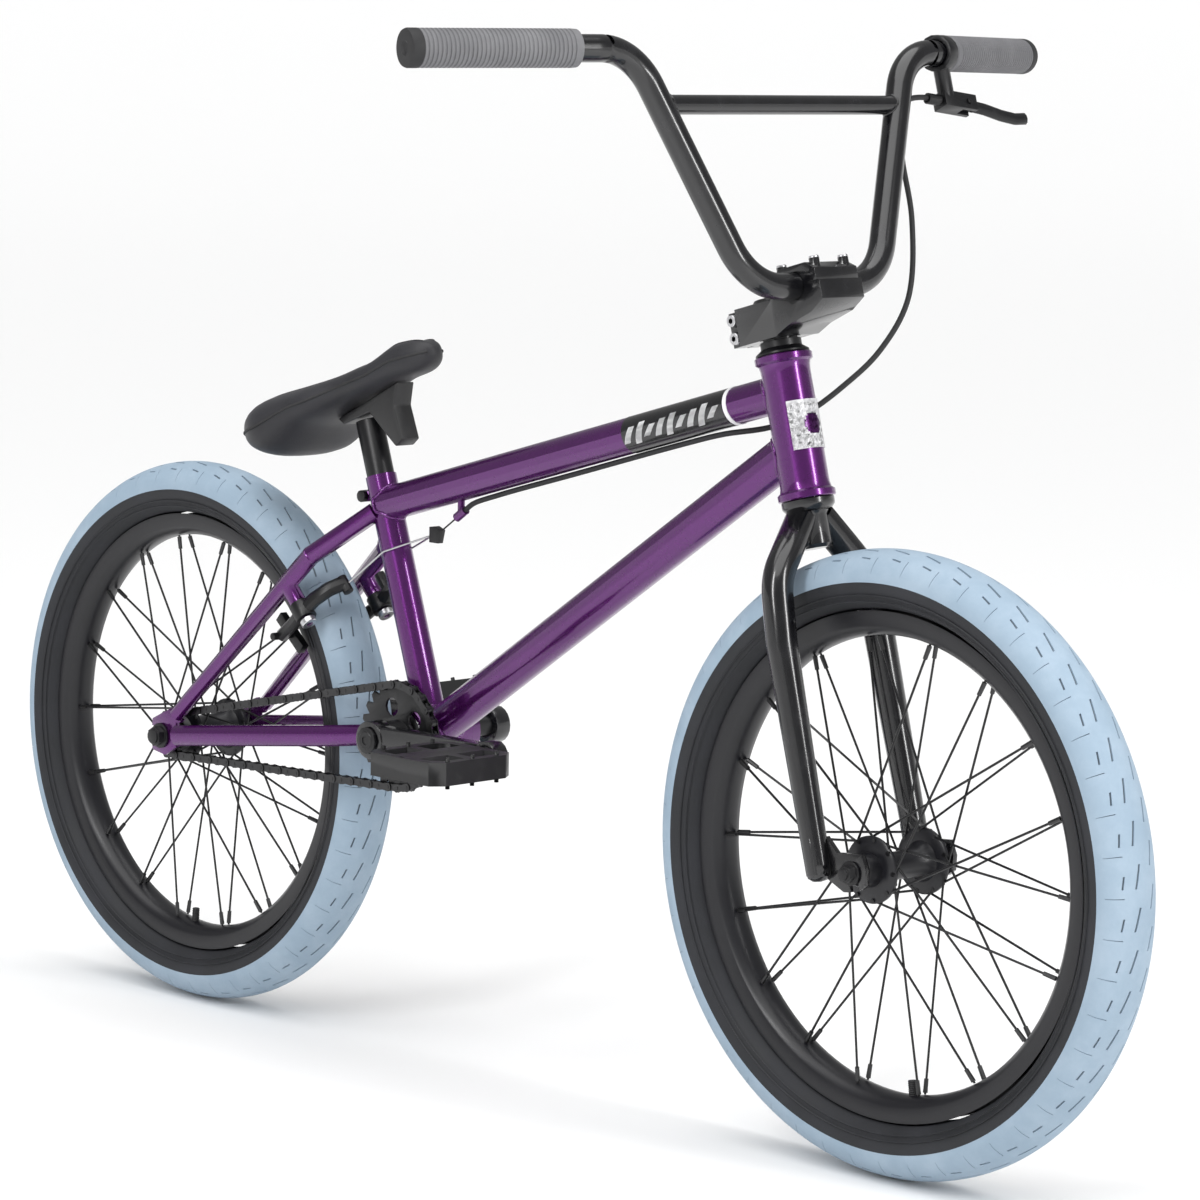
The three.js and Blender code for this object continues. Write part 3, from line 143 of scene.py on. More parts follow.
def set_studio():
    bpy.context.scene.view_settings.view_transform = "Standard"
    world = bpy.data.worlds.new("studio")
    bpy.context.scene.world = world
    world.use_nodes = True
    world.node_tree.nodes["Background"].inputs["Color"].default_value = (1, 1, 1, 1)
    world.node_tree.nodes["Background"].inputs["Strength"].default_value = 0.32
    add_light("key", (0.6, -3.2, 2.4), (0, 0, 0.4), (0.5, 2.2), 60)
    add_light("side", (3.6, 0.4, 1.8), (0.1, 0, 0.4), (0.5, 2.2), 60)
    data = bpy.data.lights.new("ceiling", "SUN")
    data.energy = 2.5
    data.angle = math.radians(70)
    ceiling = bpy.data.objects.new("ceiling", data)
    bpy.context.scene.collection.objects.link(ceiling)
    ceiling.rotation_euler = (math.radians(8), math.radians(6), 0)
    backdrop()


# ---------------------------------------------------------------- materials


class Line:
    """A socket of a material, with the sums that the materials use."""

    def __init__(self, tree, socket=None):
        self.tree = tree
        self.socket = socket

    def node(self, kind, sockets, output=0, **settings):
        made = self.tree.nodes.new(kind)
        for name, value in settings.items():
            setattr(made, name, value)
        for key, value in sockets.items():
            if isinstance(value, Line):
                self.tree.links.new(value.socket, made.inputs[key])
            else:
                made.inputs[key].default_value = value
        return Line(self.tree, made.outputs[output])

    def maths(self, operation, first, second):
        return self.node("ShaderNodeMath", {0: first, 1: second}, operation=operation)

    def __add__(self, other):
        return self.maths("ADD", self, other)

    def __mul__(self, other):
        return self.maths("MULTIPLY", self, other)

    __radd__ = __add__
    __rmul__ = __mul__


def start(name):
    """A new material with its surface shader, and a line to build on."""
    material = bpy.data.materials.new(name)
    material.use_nodes = True
    return material, material.node_tree.nodes["Principled BSDF"], Line(material.node_tree)


def drive(line, surface, **sockets):
    """Sets the shader's sockets, whose names have an underscore for a space."""
    for name, value in sockets.items():
        target = surface.inputs[name.replace("_", " ")]
        if isinstance(value, Line):
            line.tree.links.new(value.socket, target)
        else:
            target.default_value = value


def place_on(line):
    return line.node("ShaderNodeTexCoord", {}, output="Object")


def noise(line, scale, detail=3.0, roughness=0.55):
    sockets = {"Vector": place_on(line), "Scale": scale, "Detail": detail, "Roughness": roughness}
    return line.node("ShaderNodeTexNoise", sockets)


def cells(line, scale):
    return line.node("ShaderNodeTexVoronoi", {"Vector": place_on(line), "Scale": scale})


def bump(line, height, distance, strength):
    sockets = {"Height": height, "Distance": distance, "Strength": strength}
    return line.node("ShaderNodeBump", sockets, output="Normal")


def blend_colours(line, factor, first, second):
    sockets = {0: factor, 6: first, 7: second}
    return line.node("ShaderNodeMix", sockets, output=2, data_type="RGBA")


def spread(line, value, low, high):
    """A soft mask: 0 where value is under low, 1 where it is over high."""
    sockets = {"Value": value, "From Min": low, "From Max": high}
    return line.node("ShaderNodeMapRange", sockets, interpolation_type="SMOOTHSTEP")


def pale_floor():
    material, surface, line = start("pale_floor")
    drive(line, surface, Base_Color=(0.9, 0.9, 0.9, 1), Roughness=0.6)
    return material


def white_vinyl():
    material, surface, line = start("white_vinyl")
    grime = spread(line, noise(line, 90, 7, 0.7), 0.45, 0.85)
    colour = blend_colours(line, grime, (0.8, 0.8, 0.81, 1), (0.72, 0.72, 0.73, 1))
    drive(line, surface, Base_Color=colour, Roughness=0.3 + grime * 0.2,
          Normal=bump(line, noise(line, 300, 2), 0.00005, 0.2))
    return material


def candy_purple():
    """Metal flake under a tinted clear coat."""
    material, surface, line = start("candy_purple")
    flake = spread(line, cells(line, 1400), 0.1, 0.5)
    cloud = noise(line, 9)
    deep = blend_colours(line, cloud, (0.038, 0.0025, 0.055, 1), (0.064, 0.004, 0.09, 1))
    colour = blend_colours(line, flake * 0.3, deep, (0.22, 0.025, 0.29, 1))
    dust = spread(line, noise(line, 60, 6), 0.5, 0.8)
    drive(line, surface, Base_Color=colour, Metallic=0.75, Roughness=dust * 0.08 + 0.27,
          Coat_Weight=0.75, Normal=bump(line, noise(line, 35), 0.0002, 0.15))
    surface.inputs["Coat Roughness"].default_value = 0.03
    return material


def gloss_black():
    material, surface, line = start("gloss_black")
    dust = spread(line, noise(line, 45, 6), 0.45, 0.8)
    colour = blend_colours(line, dust, (0.0025, 0.0025, 0.0035, 1), (0.006, 0.006, 0.008, 1))
    drive(line, surface, Base_Color=colour, Roughness=dust * 0.1 + 0.22, Coat_Weight=0.45,
          Normal=bump(line, noise(line, 40), 0.0002, 0.12))
    surface.inputs["Coat Roughness"].default_value = 0.04
    return material


def satin_black():
    """An even black coating over metal, rubbed a little here and there."""
    material, surface, line = start("satin_black")
    rub = spread(line, noise(line, 70, 8, 0.7), 0.55, 0.8)
    colour = blend_colours(line, rub, (0.004, 0.004, 0.005, 1), (0.012, 0.012, 0.014, 1))
    surface.inputs["Specular IOR Level"].default_value = 0.4
    drive(line, surface, Base_Color=colour, Roughness=0.36 + rub * 0.14,
          Normal=bump(line, noise(line, 1500, 2), 0.0001, 0.25))
    return material


def rim_black():
    """Black anodised aluminium with fine turning marks."""
    material, surface, line = start("rim_black")
    cloud = noise(line, 20, 5)
    colour = blend_colours(line, cloud, (0.005, 0.005, 0.007, 1), (0.013, 0.013, 0.016, 1))
    surface.inputs["Specular IOR Level"].default_value = 0.4
    drive(line, surface, Base_Color=colour, Roughness=0.26 + cloud * 0.16,
          Normal=bump(line, noise(line, 600, 2), 0.0001, 0.2))
    return material


def moulded_plastic():
    material, surface, line = start("moulded_plastic")
    shade = 0.008
    scuff = spread(line, noise(line, 55, 7, 0.7), 0.5, 0.8)
    light = (shade * 2.2, shade * 2.2, shade * 2.3, 1)
    colour = blend_colours(line, scuff, (shade, shade, shade * 1.1, 1), light)
    drive(line, surface, Base_Color=colour, Roughness=0.42 + scuff * 0.2,
          Normal=bump(line, cells(line, 900), 0.00012, 0.3))
    return material


def bare_steel(name="bare_steel", shade=0.55, rough=0.24):
    material, surface, line = start(name)
    cloud = noise(line, 120, 6)
    light = (shade * 1.25, shade * 1.25, shade * 1.27, 1)
    colour = blend_colours(line, cloud, (shade * 0.8, shade * 0.8, shade * 0.83, 1), light)
    drive(line, surface, Base_Color=colour, Metallic=1.0, Roughness=cloud * 0.2 + rough,
          Normal=bump(line, noise(line, 900, 2), 0.0001, 0.2))
    return material


def rubber(name, dark, light, rough=0.62):
    """Rubber with a fine grain, and dust that pales it unevenly."""
    material, surface, line = start(name)
    dust = spread(line, noise(line, 24, 8, 0.65), 0.35, 0.75)
    colour = blend_colours(line, dust, (*dark, 1), (*light, 1))
    drive(line, surface, Base_Color=colour, Roughness=rough + dust * 0.12,
          Normal=bump(line, noise(line, 1800, 3), 0.00015, 0.35))
    return material


def seat_cover():
    """Black synthetic leather: a fine pebble grain with worn, paler high spots."""
    material, surface, line = start("seat_cover")
    wear = spread(line, noise(line, 16, 6), 0.4, 0.75)
    colour = blend_colours(line, wear, (0.006, 0.006, 0.009, 1), (0.013, 0.013, 0.018, 1))
    grain = cells(line, 950) + noise(line, 260, 4) * 0.5
    drive(line, surface, Base_Color=colour, Roughness=0.5 + wear * 0.14,
          Normal=bump(line, grain, 0.0003, 0.5))
    surface.inputs["Sheen Weight"].default_value = 0.06
    return material


PURPLE = candy_purple()
GLOSS = gloss_black()
SATIN = satin_black()
RIM = rim_black()
PLASTIC = moulded_plastic()
STEEL = bare_steel()
DARK_STEEL = bare_steel("dark_steel", 0.06, 0.3)
TREAD = rubber("tread", (0.26, 0.345, 0.43), (0.32, 0.405, 0.49), rough=0.7)
# A darker copy of the tread blue for the slot floors: painted shade in the cuts, not a rubber of its own.
GROOVE_SHADE = rubber("groove_shade", (0.1, 0.125, 0.15), (0.15, 0.18, 0.21), rough=0.8)
SIDEWALL = rubber("sidewall", (0.008, 0.009, 0.012), (0.018, 0.019, 0.024))
PAD_RUBBER = rubber("pad_rubber", (0.011, 0.011, 0.012), (0.02, 0.02, 0.022))
GRIP = rubber("grip_rubber", (0.13, 0.13, 0.138), (0.18, 0.18, 0.188))
COVER = seat_cover()
BADGE = white_vinyl()

# ---------------------------------------------------------------- making pieces


def finish_piece(name, bm, material, body, nodes=(), angle=35):
    """Turns a bmesh in millimetres into a piece that rides on a body, or on none if body is None."""
    bmesh.ops.scale(bm, vec=(MM, MM, MM), verts=bm.verts)
    mesh = bpy.data.meshes.new(name)
    bm.to_mesh(mesh)
    bm.free()
    for one in material if isinstance(material, list) else [material]:
        mesh.materials.append(one)
    mesh.shade_smooth()
    mesh.set_sharp_from_angle(angle=math.radians(angle))
    piece = bpy.data.objects.new(name, mesh)
    bpy.context.scene.collection.objects.link(piece)
    if body:
        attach(piece, body)
    if nodes:
        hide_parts(*nodes)
    return piece


def tidy_faces(bm):
    bmesh.ops.remove_doubles(bm, verts=bm.verts, dist=0.01)
    bmesh.ops.recalc_face_normals(bm, faces=bm.faces)


def round_edges(bm, width, segments=2):
    """Bevels every edge that turns by more than 30 degrees."""
    least = math.radians(30)
    sharp = [e for e in bm.edges if len(e.link_faces) == 2 and e.calc_face_angle(0) > least]
    bmesh.ops.bevel(bm, geom=sharp, offset=width, offset_type="OFFSET", segments=segments,
                    profile=0.5, affect="EDGES", clamp_overlap=True, material=-1)


def from_cad(node):
    """A CAD node's shape in millimetres, its loose triangles merged into whole faces."""
    bm = bmesh.new()
    bm.from_mesh(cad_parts[node].data)
    bmesh.ops.scale(bm, vec=(TO_MM, TO_MM, TO_MM), verts=bm.verts)
    bmesh.ops.remove_doubles(bm, verts=bm.verts, dist=0.005)
    bmesh.ops.dissolve_limit(bm, angle_limit=math.radians(1), verts=bm.verts, edges=bm.edges)
    return bm


def refined(node, material, body, width=0.0):
    """A CAD node with its edges rounded to the width, where there is one."""
    bm = from_cad(node)
    if width:
        round_edges(bm, width)
    finish_piece(node + "_finished", bm, material, body, [node])


def toward(place, axis):
    """The matrix that carries the origin to place, and Z onto axis."""
    return Matrix.Translation(place) @ Vector(axis).to_track_quat("Z", "Y").to_matrix().to_4x4()


def add_turned(bm, profile, place, axis, steps):
    """Adds a solid of revolution from [radius, height] pairs that close on themselves or on the axis."""
    made = bmesh.new()
    spin_round(made, profile, steps, closed=profile[0][0] > 0)
    tidy_faces(made)
    made.transform(toward(place, axis))
    merge_into(bm, made)


def merge_into(bm, other):
    """Moves another bmesh's shape into bm and frees the other."""
    holder = bpy.data.meshes.new("holder")
    other.to_mesh(holder)
    other.free()
    bm.from_mesh(holder)
    bpy.data.meshes.remove(holder)


def corners_in(geometry):
    return [v for v in geometry if isinstance(v, bmesh.types.BMVert)]


def add_rod(bm, low, high, radius, sides, end_radius=None):
    """Adds a capped rod from low to high, tapered where an end radius is given."""
    low, high = Vector(low), Vector(high)
    matrix = toward((low + high) / 2, high - low)
    bmesh.ops.create_cone(bm, cap_ends=True, segments=sides, radius1=radius,
                          radius2=radius if end_radius is None else end_radius,
                          depth=(high - low).length, matrix=matrix)


def add_bolt(bm, place, axis, radius, height):
    """Adds a round bolt head with a six-sided recess and a small chamfer."""
    made = bmesh.new()
    deep, chamfer = radius * 0.6, 0.1 * radius
    bmesh.ops.create_circle(made, cap_ends=True, segments=6, radius=radius * 0.5)
    face = made.faces[:][0]
    made.transform(Matrix.Translation((0, 0, height - deep)))
    walls = bmesh.ops.extrude_edge_only(made, edges=face.edges[:])["geom"]
    bmesh.ops.translate(made, vec=(0, 0, deep), verts=corners_in(walls))
    bmesh.ops.create_circle(made, cap_ends=False, segments=24, radius=radius * 0.9,
                            matrix=Matrix.Translation((0, 0, height)))
    loops = [e for e in made.edges if e.is_boundary and all(abs(v.co.z - height) < 0.01 for v in e.verts)]
    loops += [e for e in made.edges if e.is_wire and e not in loops]
    bmesh.ops.bridge_loops(made, edges=loops)
    for grow, drop in ((1 / 0.9, -chamfer), (1.0, -(height - chamfer))):
        outer = [e for e in made.edges if e.is_boundary]
        verts = corners_in(bmesh.ops.extrude_edge_only(made, edges=outer)["geom"])
        bmesh.ops.scale(made, vec=(grow, grow, 1), verts=verts)
        bmesh.ops.translate(made, vec=(0, 0, drop), verts=verts)
    bmesh.ops.holes_fill(made, edges=[e for e in made.edges if e.is_boundary])
    tidy_faces(made)
    made.transform(toward(place, axis))
    merge_into(bm, made)


def rounded(points, radii, pieces=10):
    """A route whose inner corners are rounded to the radii."""
    points = [Vector(p) for p in points]
    route = [points[0]]
    for i in range(1, len(points) - 1):
        corner = points[i]
        back = (points[i - 1] - corner).normalized()
        ahead = (points[i + 1] - corner).normalized()
        half = back.angle(ahead) / 2
        first = corner + back * (radii[i - 1] / math.tan(half))
        centre = corner + (back + ahead).normalized() * (radii[i - 1] / math.sin(half))
        axis = ahead.cross(back).normalized()
        for k in range(pieces + 1):
            turn = Matrix.Rotation((math.pi - 2 * half) * k / pieces, 3, axis)
            route.append(centre + turn @ (first - centre))
    route.append(points[-1])
    return route


def add_bent(bm, points, radii, rings, closed=False):
    """Adds a round tube along points; radii is one number or one for each point."""
    data = bpy.data.curves.new("route", "CURVE")
    data.dimensions = "3D"
    data.bevel_depth = 1
    data.bevel_resolution = rings
    data.use_fill_caps = True
    spline = data.splines.new("POLY")
    spline.points.add(len(points) - 1)
    for i, (point, place) in enumerate(zip(spline.points, points)):
        point.co = (*place, 1)
        point.radius = radii[i] if isinstance(radii, list) else radii
    spline.use_cyclic_u = closed
    holder = bpy.data.objects.new("route", data)
    bpy.context.scene.collection.objects.link(holder)
    mesh = bpy.data.meshes.new_from_object(holder)
    bpy.data.objects.remove(holder)
    made = bmesh.new()
    made.from_mesh(mesh)
    tidy_faces(made)
    merge_into(bm, made)


# ---------------------------------------------------------------- where things are


def middle_of(node):
    """The middle of a CAD node, in millimetres."""
    low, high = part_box(node)
    return (Vector(low) + Vector(high)) * (TO_MM / 2)


def leaning(degrees):
    """The way up of a tube that leans back, by its angle from the ground."""
    return Vector((-math.cos(math.radians(degrees)), 0, math.sin(math.radians(degrees))))


HEAD_ANGLE, SEAT_ANGLE = 75, 71.4
REAR = middle_of("rear_rim")
FRONT = middle_of("front_rim")
BRACKET = middle_of("bottom_bracket_shell")
HEAD = middle_of("head_tube")
HEAD_UP = leaning(HEAD_ANGLE)
SEAT_UP = leaning(SEAT_ANGLE)
ACROSS = Vector((0, 1, 0))
STAY_ANGLE = math.radians(42.5)
STEERING = Matrix.Translation(HEAD) @ Matrix.Rotation(math.radians(HEAD_ANGLE - 90), 4, "Y")
SIDES = {"left": 1, "right": -1}

TOP_TUBE_REAR = BRACKET + SEAT_UP * 210.6
TOP_TUBE_FRONT = HEAD + HEAD_UP * 30
TOP_TUBE_RUN = (TOP_TUBE_FRONT - TOP_TUBE_REAR).normalized()
DOWN_TUBE_FRONT = HEAD - HEAD_UP * 15.5
TOP_TUBE_RADIUS, DOWN_TUBE_RADIUS, SEAT_TUBE_RADIUS = 15.9, 17.4, 14.2
HEAD_WELD_RADIUS, SHELL_WELD_RADIUS, SEAT_WELD_RADIUS = 20.6, 25.1, 14.4
WELD_STEPS = 96


def steer(x, y, z):
    """A point in the upright frame of the steering, carried to its place."""
    return STEERING @ Vector((x, y, z))


# ---------------------------------------------------------------- wheels


TYRE_STEPS = 192
TYRE_MIDDLE, TYRE_DEEP, TYRE_WIDE = 230.5, 26.3, 29.3
ROW_DEGREES = 8
SLOT_BEAT = 4
SPOKES_A_SIDE = 18
SPOKE_CROSSES = 3
SPOKE_CIRCLE = 25.2
SPOKE_RADIUS = 1.05
NIPPLE_SEAT = 187
FLANGE_RADIUS = 27.6


def crown_place(face):
    """How far round the wheel, in steps, how far over the crown, in rows, and how far out a face lies."""
    middle = face.calc_center_median()
    radius = math.hypot(middle.x, middle.z)
    turn = math.atan2(middle.z, middle.x) / (2 * math.pi) * TYRE_STEPS
    over = math.degrees(math.atan2(middle.y / TYRE_WIDE, (radius - TYRE_MIDDLE) / TYRE_DEEP)) / ROW_DEGREES
    return int(turn % TYRE_STEPS), over, radius


def cut_slots(bm, faces, margin, slant=0.0):
    """Sinks a narrow slot in the middle of each patch of faces, turned a little for a slant, and gives its
    floor the darker copy of the tread blue as painted shade.
    """
    bmesh.ops.inset_region(bm, faces=faces, thickness=margin, use_even_offset=True, use_boundary=True)
    for vert in {v for f in faces for v in f.verts}:
        turn = math.atan2(vert.co.z, vert.co.x)
        late = 2 if vert.co.y < 0 else 0
        part = (turn / (2 * math.pi) * TYRE_STEPS + late) % SLOT_BEAT / SLOT_BEAT - 0.4
        across = vert.co.y + slant * part
        radius = TYRE_MIDDLE + TYRE_DEEP * math.cos(math.asin(max(-1, min(1, across / TYRE_WIDE))))
        vert.co = Vector((radius * math.cos(turn), across, radius * math.sin(turn)))
    bmesh.ops.inset_region(bm, faces=faces, thickness=0.15, depth=-1.3, use_even_offset=True,
                           use_boundary=True)
    for face in faces:
        # The third material is the darker tread blue: painted shade on the slot floors.
        face.material_index = 2


def tyre(name, place, body, node):
    """A fat street tyre: a smooth pale crown with slanting cuts whose floors are darkened as painted shade, and
    plain black walls.
    """
    arc = []
    for degrees in range(-128, 129, ROW_DEGREES):
        angle = math.radians(degrees)
        arc.append((TYRE_MIDDLE + TYRE_DEEP * math.cos(angle), TYRE_WIDE * math.sin(angle)))
    inside = [(209.6, 15), (214, 14), (226, 24), (248, 0), (226, -24), (214, -14), (209.6, -15)]
    made = bmesh.new()
    add_turned(made, arc + inside, (0, 0, 0), ACROSS, TYRE_STEPS)
    middles, shoulders, ticks = [], [], []
    for face in made.faces:
        step, over, radius = crown_place(face)
        middle = face.calc_center_median()
        outward = face.normal.dot(middle - Vector((0, middle.y * 0.8, 0))) > 0
        if abs(over) > 11 or not outward or radius < 230:
            continue
        face.material_index = 1
        beat, row = (step + (2 if over < 0 else 0)) % SLOT_BEAT, int(abs(over))
        if row in (1, 2) and beat < 3:
            middles.append(face)
        elif row in (4, 5) and beat in (0, 1):
            shoulders.append(face)
        elif 4 <= row <= 9 and beat == 3:
            ticks.append(face)
    cut_slots(made, middles, 3.05, 7)
    cut_slots(made, shoulders, 3.1, 4)
    cut_slots(made, ticks, 3.75)
    for height, radius in ((28.4, 221), (27.2, 216)):
        for side in (-1, 1):
            add_turned(made, [(radius - 0.7, side * height), (radius, side * (height + 0.7)),
                              (radius + 0.7, side * height), (radius, side * (height - 0.5))],
                       (0, 0, 0), ACROSS, 120)
    bmesh.ops.translate(made, vec=place, verts=made.verts)
    finish_piece(name + "_tyre", made, [SIDEWALL, TREAD, GROOVE_SHADE], body, [node], 30)


def rim(name, place, body, node):
    """A double-walled rim with hooked edges."""
    profile = [(208, 17), (207, 15), (199, 13.5), (199, 9), (197, 0), (199, -9), (199, -13.5), (207, -15),
               (208, -17), (206, -17.2), (196, -16), (194, -15), (189, -10), (187.3, -4), (187, 0),
               (187.3, 4), (189, 10), (194, 15), (196, 16), (206, 17.2)]
    made = bmesh.new()
    add_turned(made, profile, place, ACROSS, 128)
    finish_piece(name + "_rim", made, RIM, body, [node], 40)


def spokes(name, place, body, flanges):
    """Laces the spokes three-cross, each with its nipple and a head at its flange."""
    made = bmesh.new()
    nipples = bmesh.new()
    step = 2 * math.pi / SPOKES_A_SIDE
    for flange, out in zip(flanges, (1, -1)):
        for i in range(SPOKES_A_SIDE):
            lead = -1 if i % 2 else 1
            inset = 0.9 if lead > 0 else 3.3
            near, far = step * i, step * (i + SPOKE_CROSSES * lead)
            inner = Vector((SPOKE_CIRCLE * math.cos(near), flange - out * inset, SPOKE_CIRCLE * math.sin(near)))
            outer = Vector((NIPPLE_SEAT * math.cos(far), out * (7 - inset), NIPPLE_SEAT * math.sin(far)))
            add_rod(made, place + inner, place + outer, SPOKE_RADIUS, sides=8)
            head, tail = Vector((0, 2.4 * out, 0)), Vector((0, 1.4 * out, 0))
            add_rod(made, place + inner + head, place + inner - tail, 1.9, sides=10)
            along = (outer - inner).normalized()
            add_rod(nipples, place + outer - along * 13, place + outer - along * 1.5, 1.9, 8, 2.1)
    finish_piece(name + "_spokes", made, SATIN, body,
                 [f"{name}_spokes_left", f"{name}_spokes_right"])
    finish_piece(name + "_nipples", nipples, DARK_STEEL, body)


def hub(name, place, body, node, left, right, left_end, right_end, core):
    """A turned hub shell: left and right are its flanges' outer faces, and core is its ends' radius."""
    wide, edge = FLANGE_RADIUS, 26
    profile = [(core - 6, left_end), (core - 3, left_end), (core - 1, left_end - 3), (core, left + 1),
               (edge, left + 0.4), (wide, left - 1), (wide, left - 3), (edge, left - 4.2),
               (core + 3, left - 5), (core - 2, left - 12), (core - 2.5, 0), (core - 2, right + 12),
               (core + 3, right + 5), (edge, right + 4.2), (wide, right + 3), (wide, right + 1),
               (edge, right - 0.4), (core, right - 1), (core - 1, right_end + 3), (core - 3, right_end),
               (core - 6, right_end)]
    made = bmesh.new()
    add_turned(made, profile, place, ACROSS, 48)
    finish_piece(name + "_hub", made, RIM, body, [node], 40)


def valve(name, place, body, degrees, node):
    """The valve stem, ridged at its free end, through the rim."""
    out = Vector((math.cos(math.radians(degrees)), 0, math.sin(math.radians(degrees))))
    made = bmesh.new()
    ridges, ridge_pitch = 9, 1.6
    profile = [(0, 0), (3, 0)]
    for k in range(ridges):
        profile += [(3.6, 1 + k * ridge_pitch), (3.1, 1.8 + k * ridge_pitch)]
    profile += [(3.3, 17), (3.9, 17.2), (3.9, 34), (0, 34)]
    add_turned(made, profile, place + out * 175, out, 20)
    finish_piece(name + "_valve", made, PAD_RUBBER, body, [node])


def make_wheels():
    for name, place, degrees in (("front", FRONT, -83), ("rear", REAR, -94)):
        body = name + "_wheel"
        tyre(name, place, body, name + "_tyre")
        rim(name, place, body, name + "_rim")
        valve(name, place, body, degrees, name + "_inner_tube")
    spokes("front", FRONT, "front_wheel", (33, -33))
    spokes("rear", REAR, "rear_wheel", (31, -27))
    hub("front", FRONT, "front_wheel", "front_hub", left=33, right=-33, left_end=48, right_end=-48, core=14)
    hub("rear", REAR, "rear_wheel", "rear_hub", left=31, right=-27, left_end=46, right_end=-33, core=17)


# ---------------------------------------------------------------- frame


def ring_where(axis_point, axis, radius, other_point, other_axis, other_radius):
    """Where a tube that runs along axis meets the side of another tube."""
    side = axis.orthogonal().normalized()
    places = []
    for k in range(WELD_STEPS):
        arm = Matrix.Rotation(2 * math.pi * k / WELD_STEPS, 3, axis) @ side
        on = axis_point + arm * radius - other_point
        flat = on - on.dot(other_axis) * other_axis
        run = axis - axis.dot(other_axis) * other_axis
        a, b, c = run.dot(run), 2 * flat.dot(run), flat.dot(flat) - other_radius ** 2
        reach = (-b - math.sqrt(max(b * b - 4 * a * c, 0))) / (2 * a)
        places.append(axis_point + arm * radius + axis * reach)
    return places


def weld(name, *args):
    """A bead of overlapping ripples round a joint of two tubes."""
    places = ring_where(*args)
    made = bmesh.new()
    ripples = [1.7 + 0.25 * math.cos(k * math.pi * 0.66) for k in range(len(places))]
    add_bent(made, places, ripples, closed=True, rings=3)
    finish_piece(name, made, PURPLE, "frame", angle=60)


def head_tube():
    """The tube with a flared cup at each end."""
    profile = [(17, -60), (23.2, -60), (24, -59.2), (24, -54.5), (23.2, -53.8), (21.5, -52.5), (20.7, -49),
               (20.5, -45), (20.5, 45), (20.7, 49), (21.5, 52.5), (23.2, 53.8), (24, 54.5), (24, 59.2),
               (23.2, 60), (17, 60)]
    made = bmesh.new()
    add_turned(made, profile, HEAD, HEAD_UP, 72)
    finish_piece("head_tube_finished", made, PURPLE, "frame", ["head_tube"])


def head_badge():
    """A plain white plate bent round the front of the head tube, with a round spot of the frame's colour."""
    made = bmesh.new()
    bend_radius, half_tall = 21.4, 20
    bmesh.ops.create_grid(made, x_segments=24, y_segments=24, size=1)
    for vert in made.verts:
        angle = math.radians(58) * vert.co.x
        vert.co = Vector((bend_radius * math.cos(angle), bend_radius * math.sin(angle), half_tall * vert.co.y))
    for face in made.faces:
        centre = face.calc_center_median()
        turn = math.atan2(centre.y, centre.x)
        if (turn / 0.4) ** 2 + (centre.z / 9) ** 2 < 1:
            face.material_index = 1
    bmesh.ops.solidify(made, geom=made.faces[:], thickness=0.5)
    tidy_faces(made)
    made.transform(STEERING)
    finish_piece("head_badge", made, [BADGE, PURPLE], "frame")


def tube_band():
    """The black band round the front of the top tube, with plain slanting dashes and a white ring."""
    bands = (("tube_band", 330, 453, 0.25, GLOSS), ("tube_ring", 453.5, 458, 0.35, BADGE))
    for name, low, high, lift, material in bands:
        made = bmesh.new()
        inner, outer = 15.7, TOP_TUBE_RADIUS + lift
        add_turned(made, [(inner, low), (outer, low + 0.3), (outer, high - 0.3), (inner, high)],
                   TOP_TUBE_REAR, TOP_TUBE_RUN, 64)
        finish_piece(name, made, material, "frame")
    dashes = bmesh.new()
    dash_radius = 16.25
    turned = Matrix.Rotation(math.atan2(TOP_TUBE_RUN.x, TOP_TUBE_RUN.z), 4, "Y")
    for sign in (1, -1):
        for k in range(9):
            patch = bmesh.new()
            bmesh.ops.create_grid(patch, x_segments=2, y_segments=12, size=1)
            tall = 0.42 + 0.16 * math.sin(k * 2.1)
            for vert in patch.verts:
                turn = sign * (math.pi / 2 - 0.1 + tall * vert.co.y)
                along = 339 + 12.8 * k + 3.6 * vert.co.x + 4.5 * vert.co.y
                vert.co = Vector((dash_radius * math.cos(turn), dash_radius * math.sin(turn), along))
            bmesh.ops.solidify(patch, geom=patch.faces[:], thickness=0.15)
            tidy_faces(patch)
            patch.transform(Matrix.Translation(TOP_TUBE_REAR) @ turned)
            merge_into(dashes, patch)
    finish_piece("tube_dashes", dashes, BADGE, "frame")


def make_frame():
    head_tube()
    head_badge()
    tube_band()
    for node in ("top_tube", "down_tube", "seat_tube", "chainstay_left", "chainstay_right", "seatstay_left",
                 "seatstay_right"):
        refined(node, PURPLE, "frame")
    for node in ("dropout_left", "dropout_right", "bottom_bracket_shell"):
        refined(node, PURPLE, "frame", 0.7)
    refined("seat_clamp_bolt", SATIN, "frame", 0.5)
    refined("rear_axle", SATIN, "frame", 0.5)
    for node in ("upper_headset_bearing", "lower_headset_bearing", "bracket_bearing_left",
                 "bracket_bearing_right"):
        refined(node, STEEL, "frame", 0.3)
    slope = (DOWN_TUBE_FRONT - BRACKET).normalized()
    head = (HEAD, HEAD_UP, HEAD_WELD_RADIUS)
    shell = (BRACKET, ACROSS, SHELL_WELD_RADIUS)
    weld("weld_top_front", TOP_TUBE_REAR, TOP_TUBE_RUN, TOP_TUBE_RADIUS, *head)
    weld("weld_down_front", BRACKET, slope, DOWN_TUBE_RADIUS, *head)
    weld("weld_down_back", DOWN_TUBE_FRONT, -slope, DOWN_TUBE_RADIUS, *shell)
    weld("weld_seat_low", BRACKET + SEAT_UP * 200, -SEAT_UP, SEAT_TUBE_RADIUS, *shell)
    weld("weld_top_rear", TOP_TUBE_FRONT, -TOP_TUBE_RUN, TOP_TUBE_RADIUS, BRACKET, SEAT_UP, SEAT_WELD_RADIUS)


# ---------------------------------------------------------------- chain and cranks


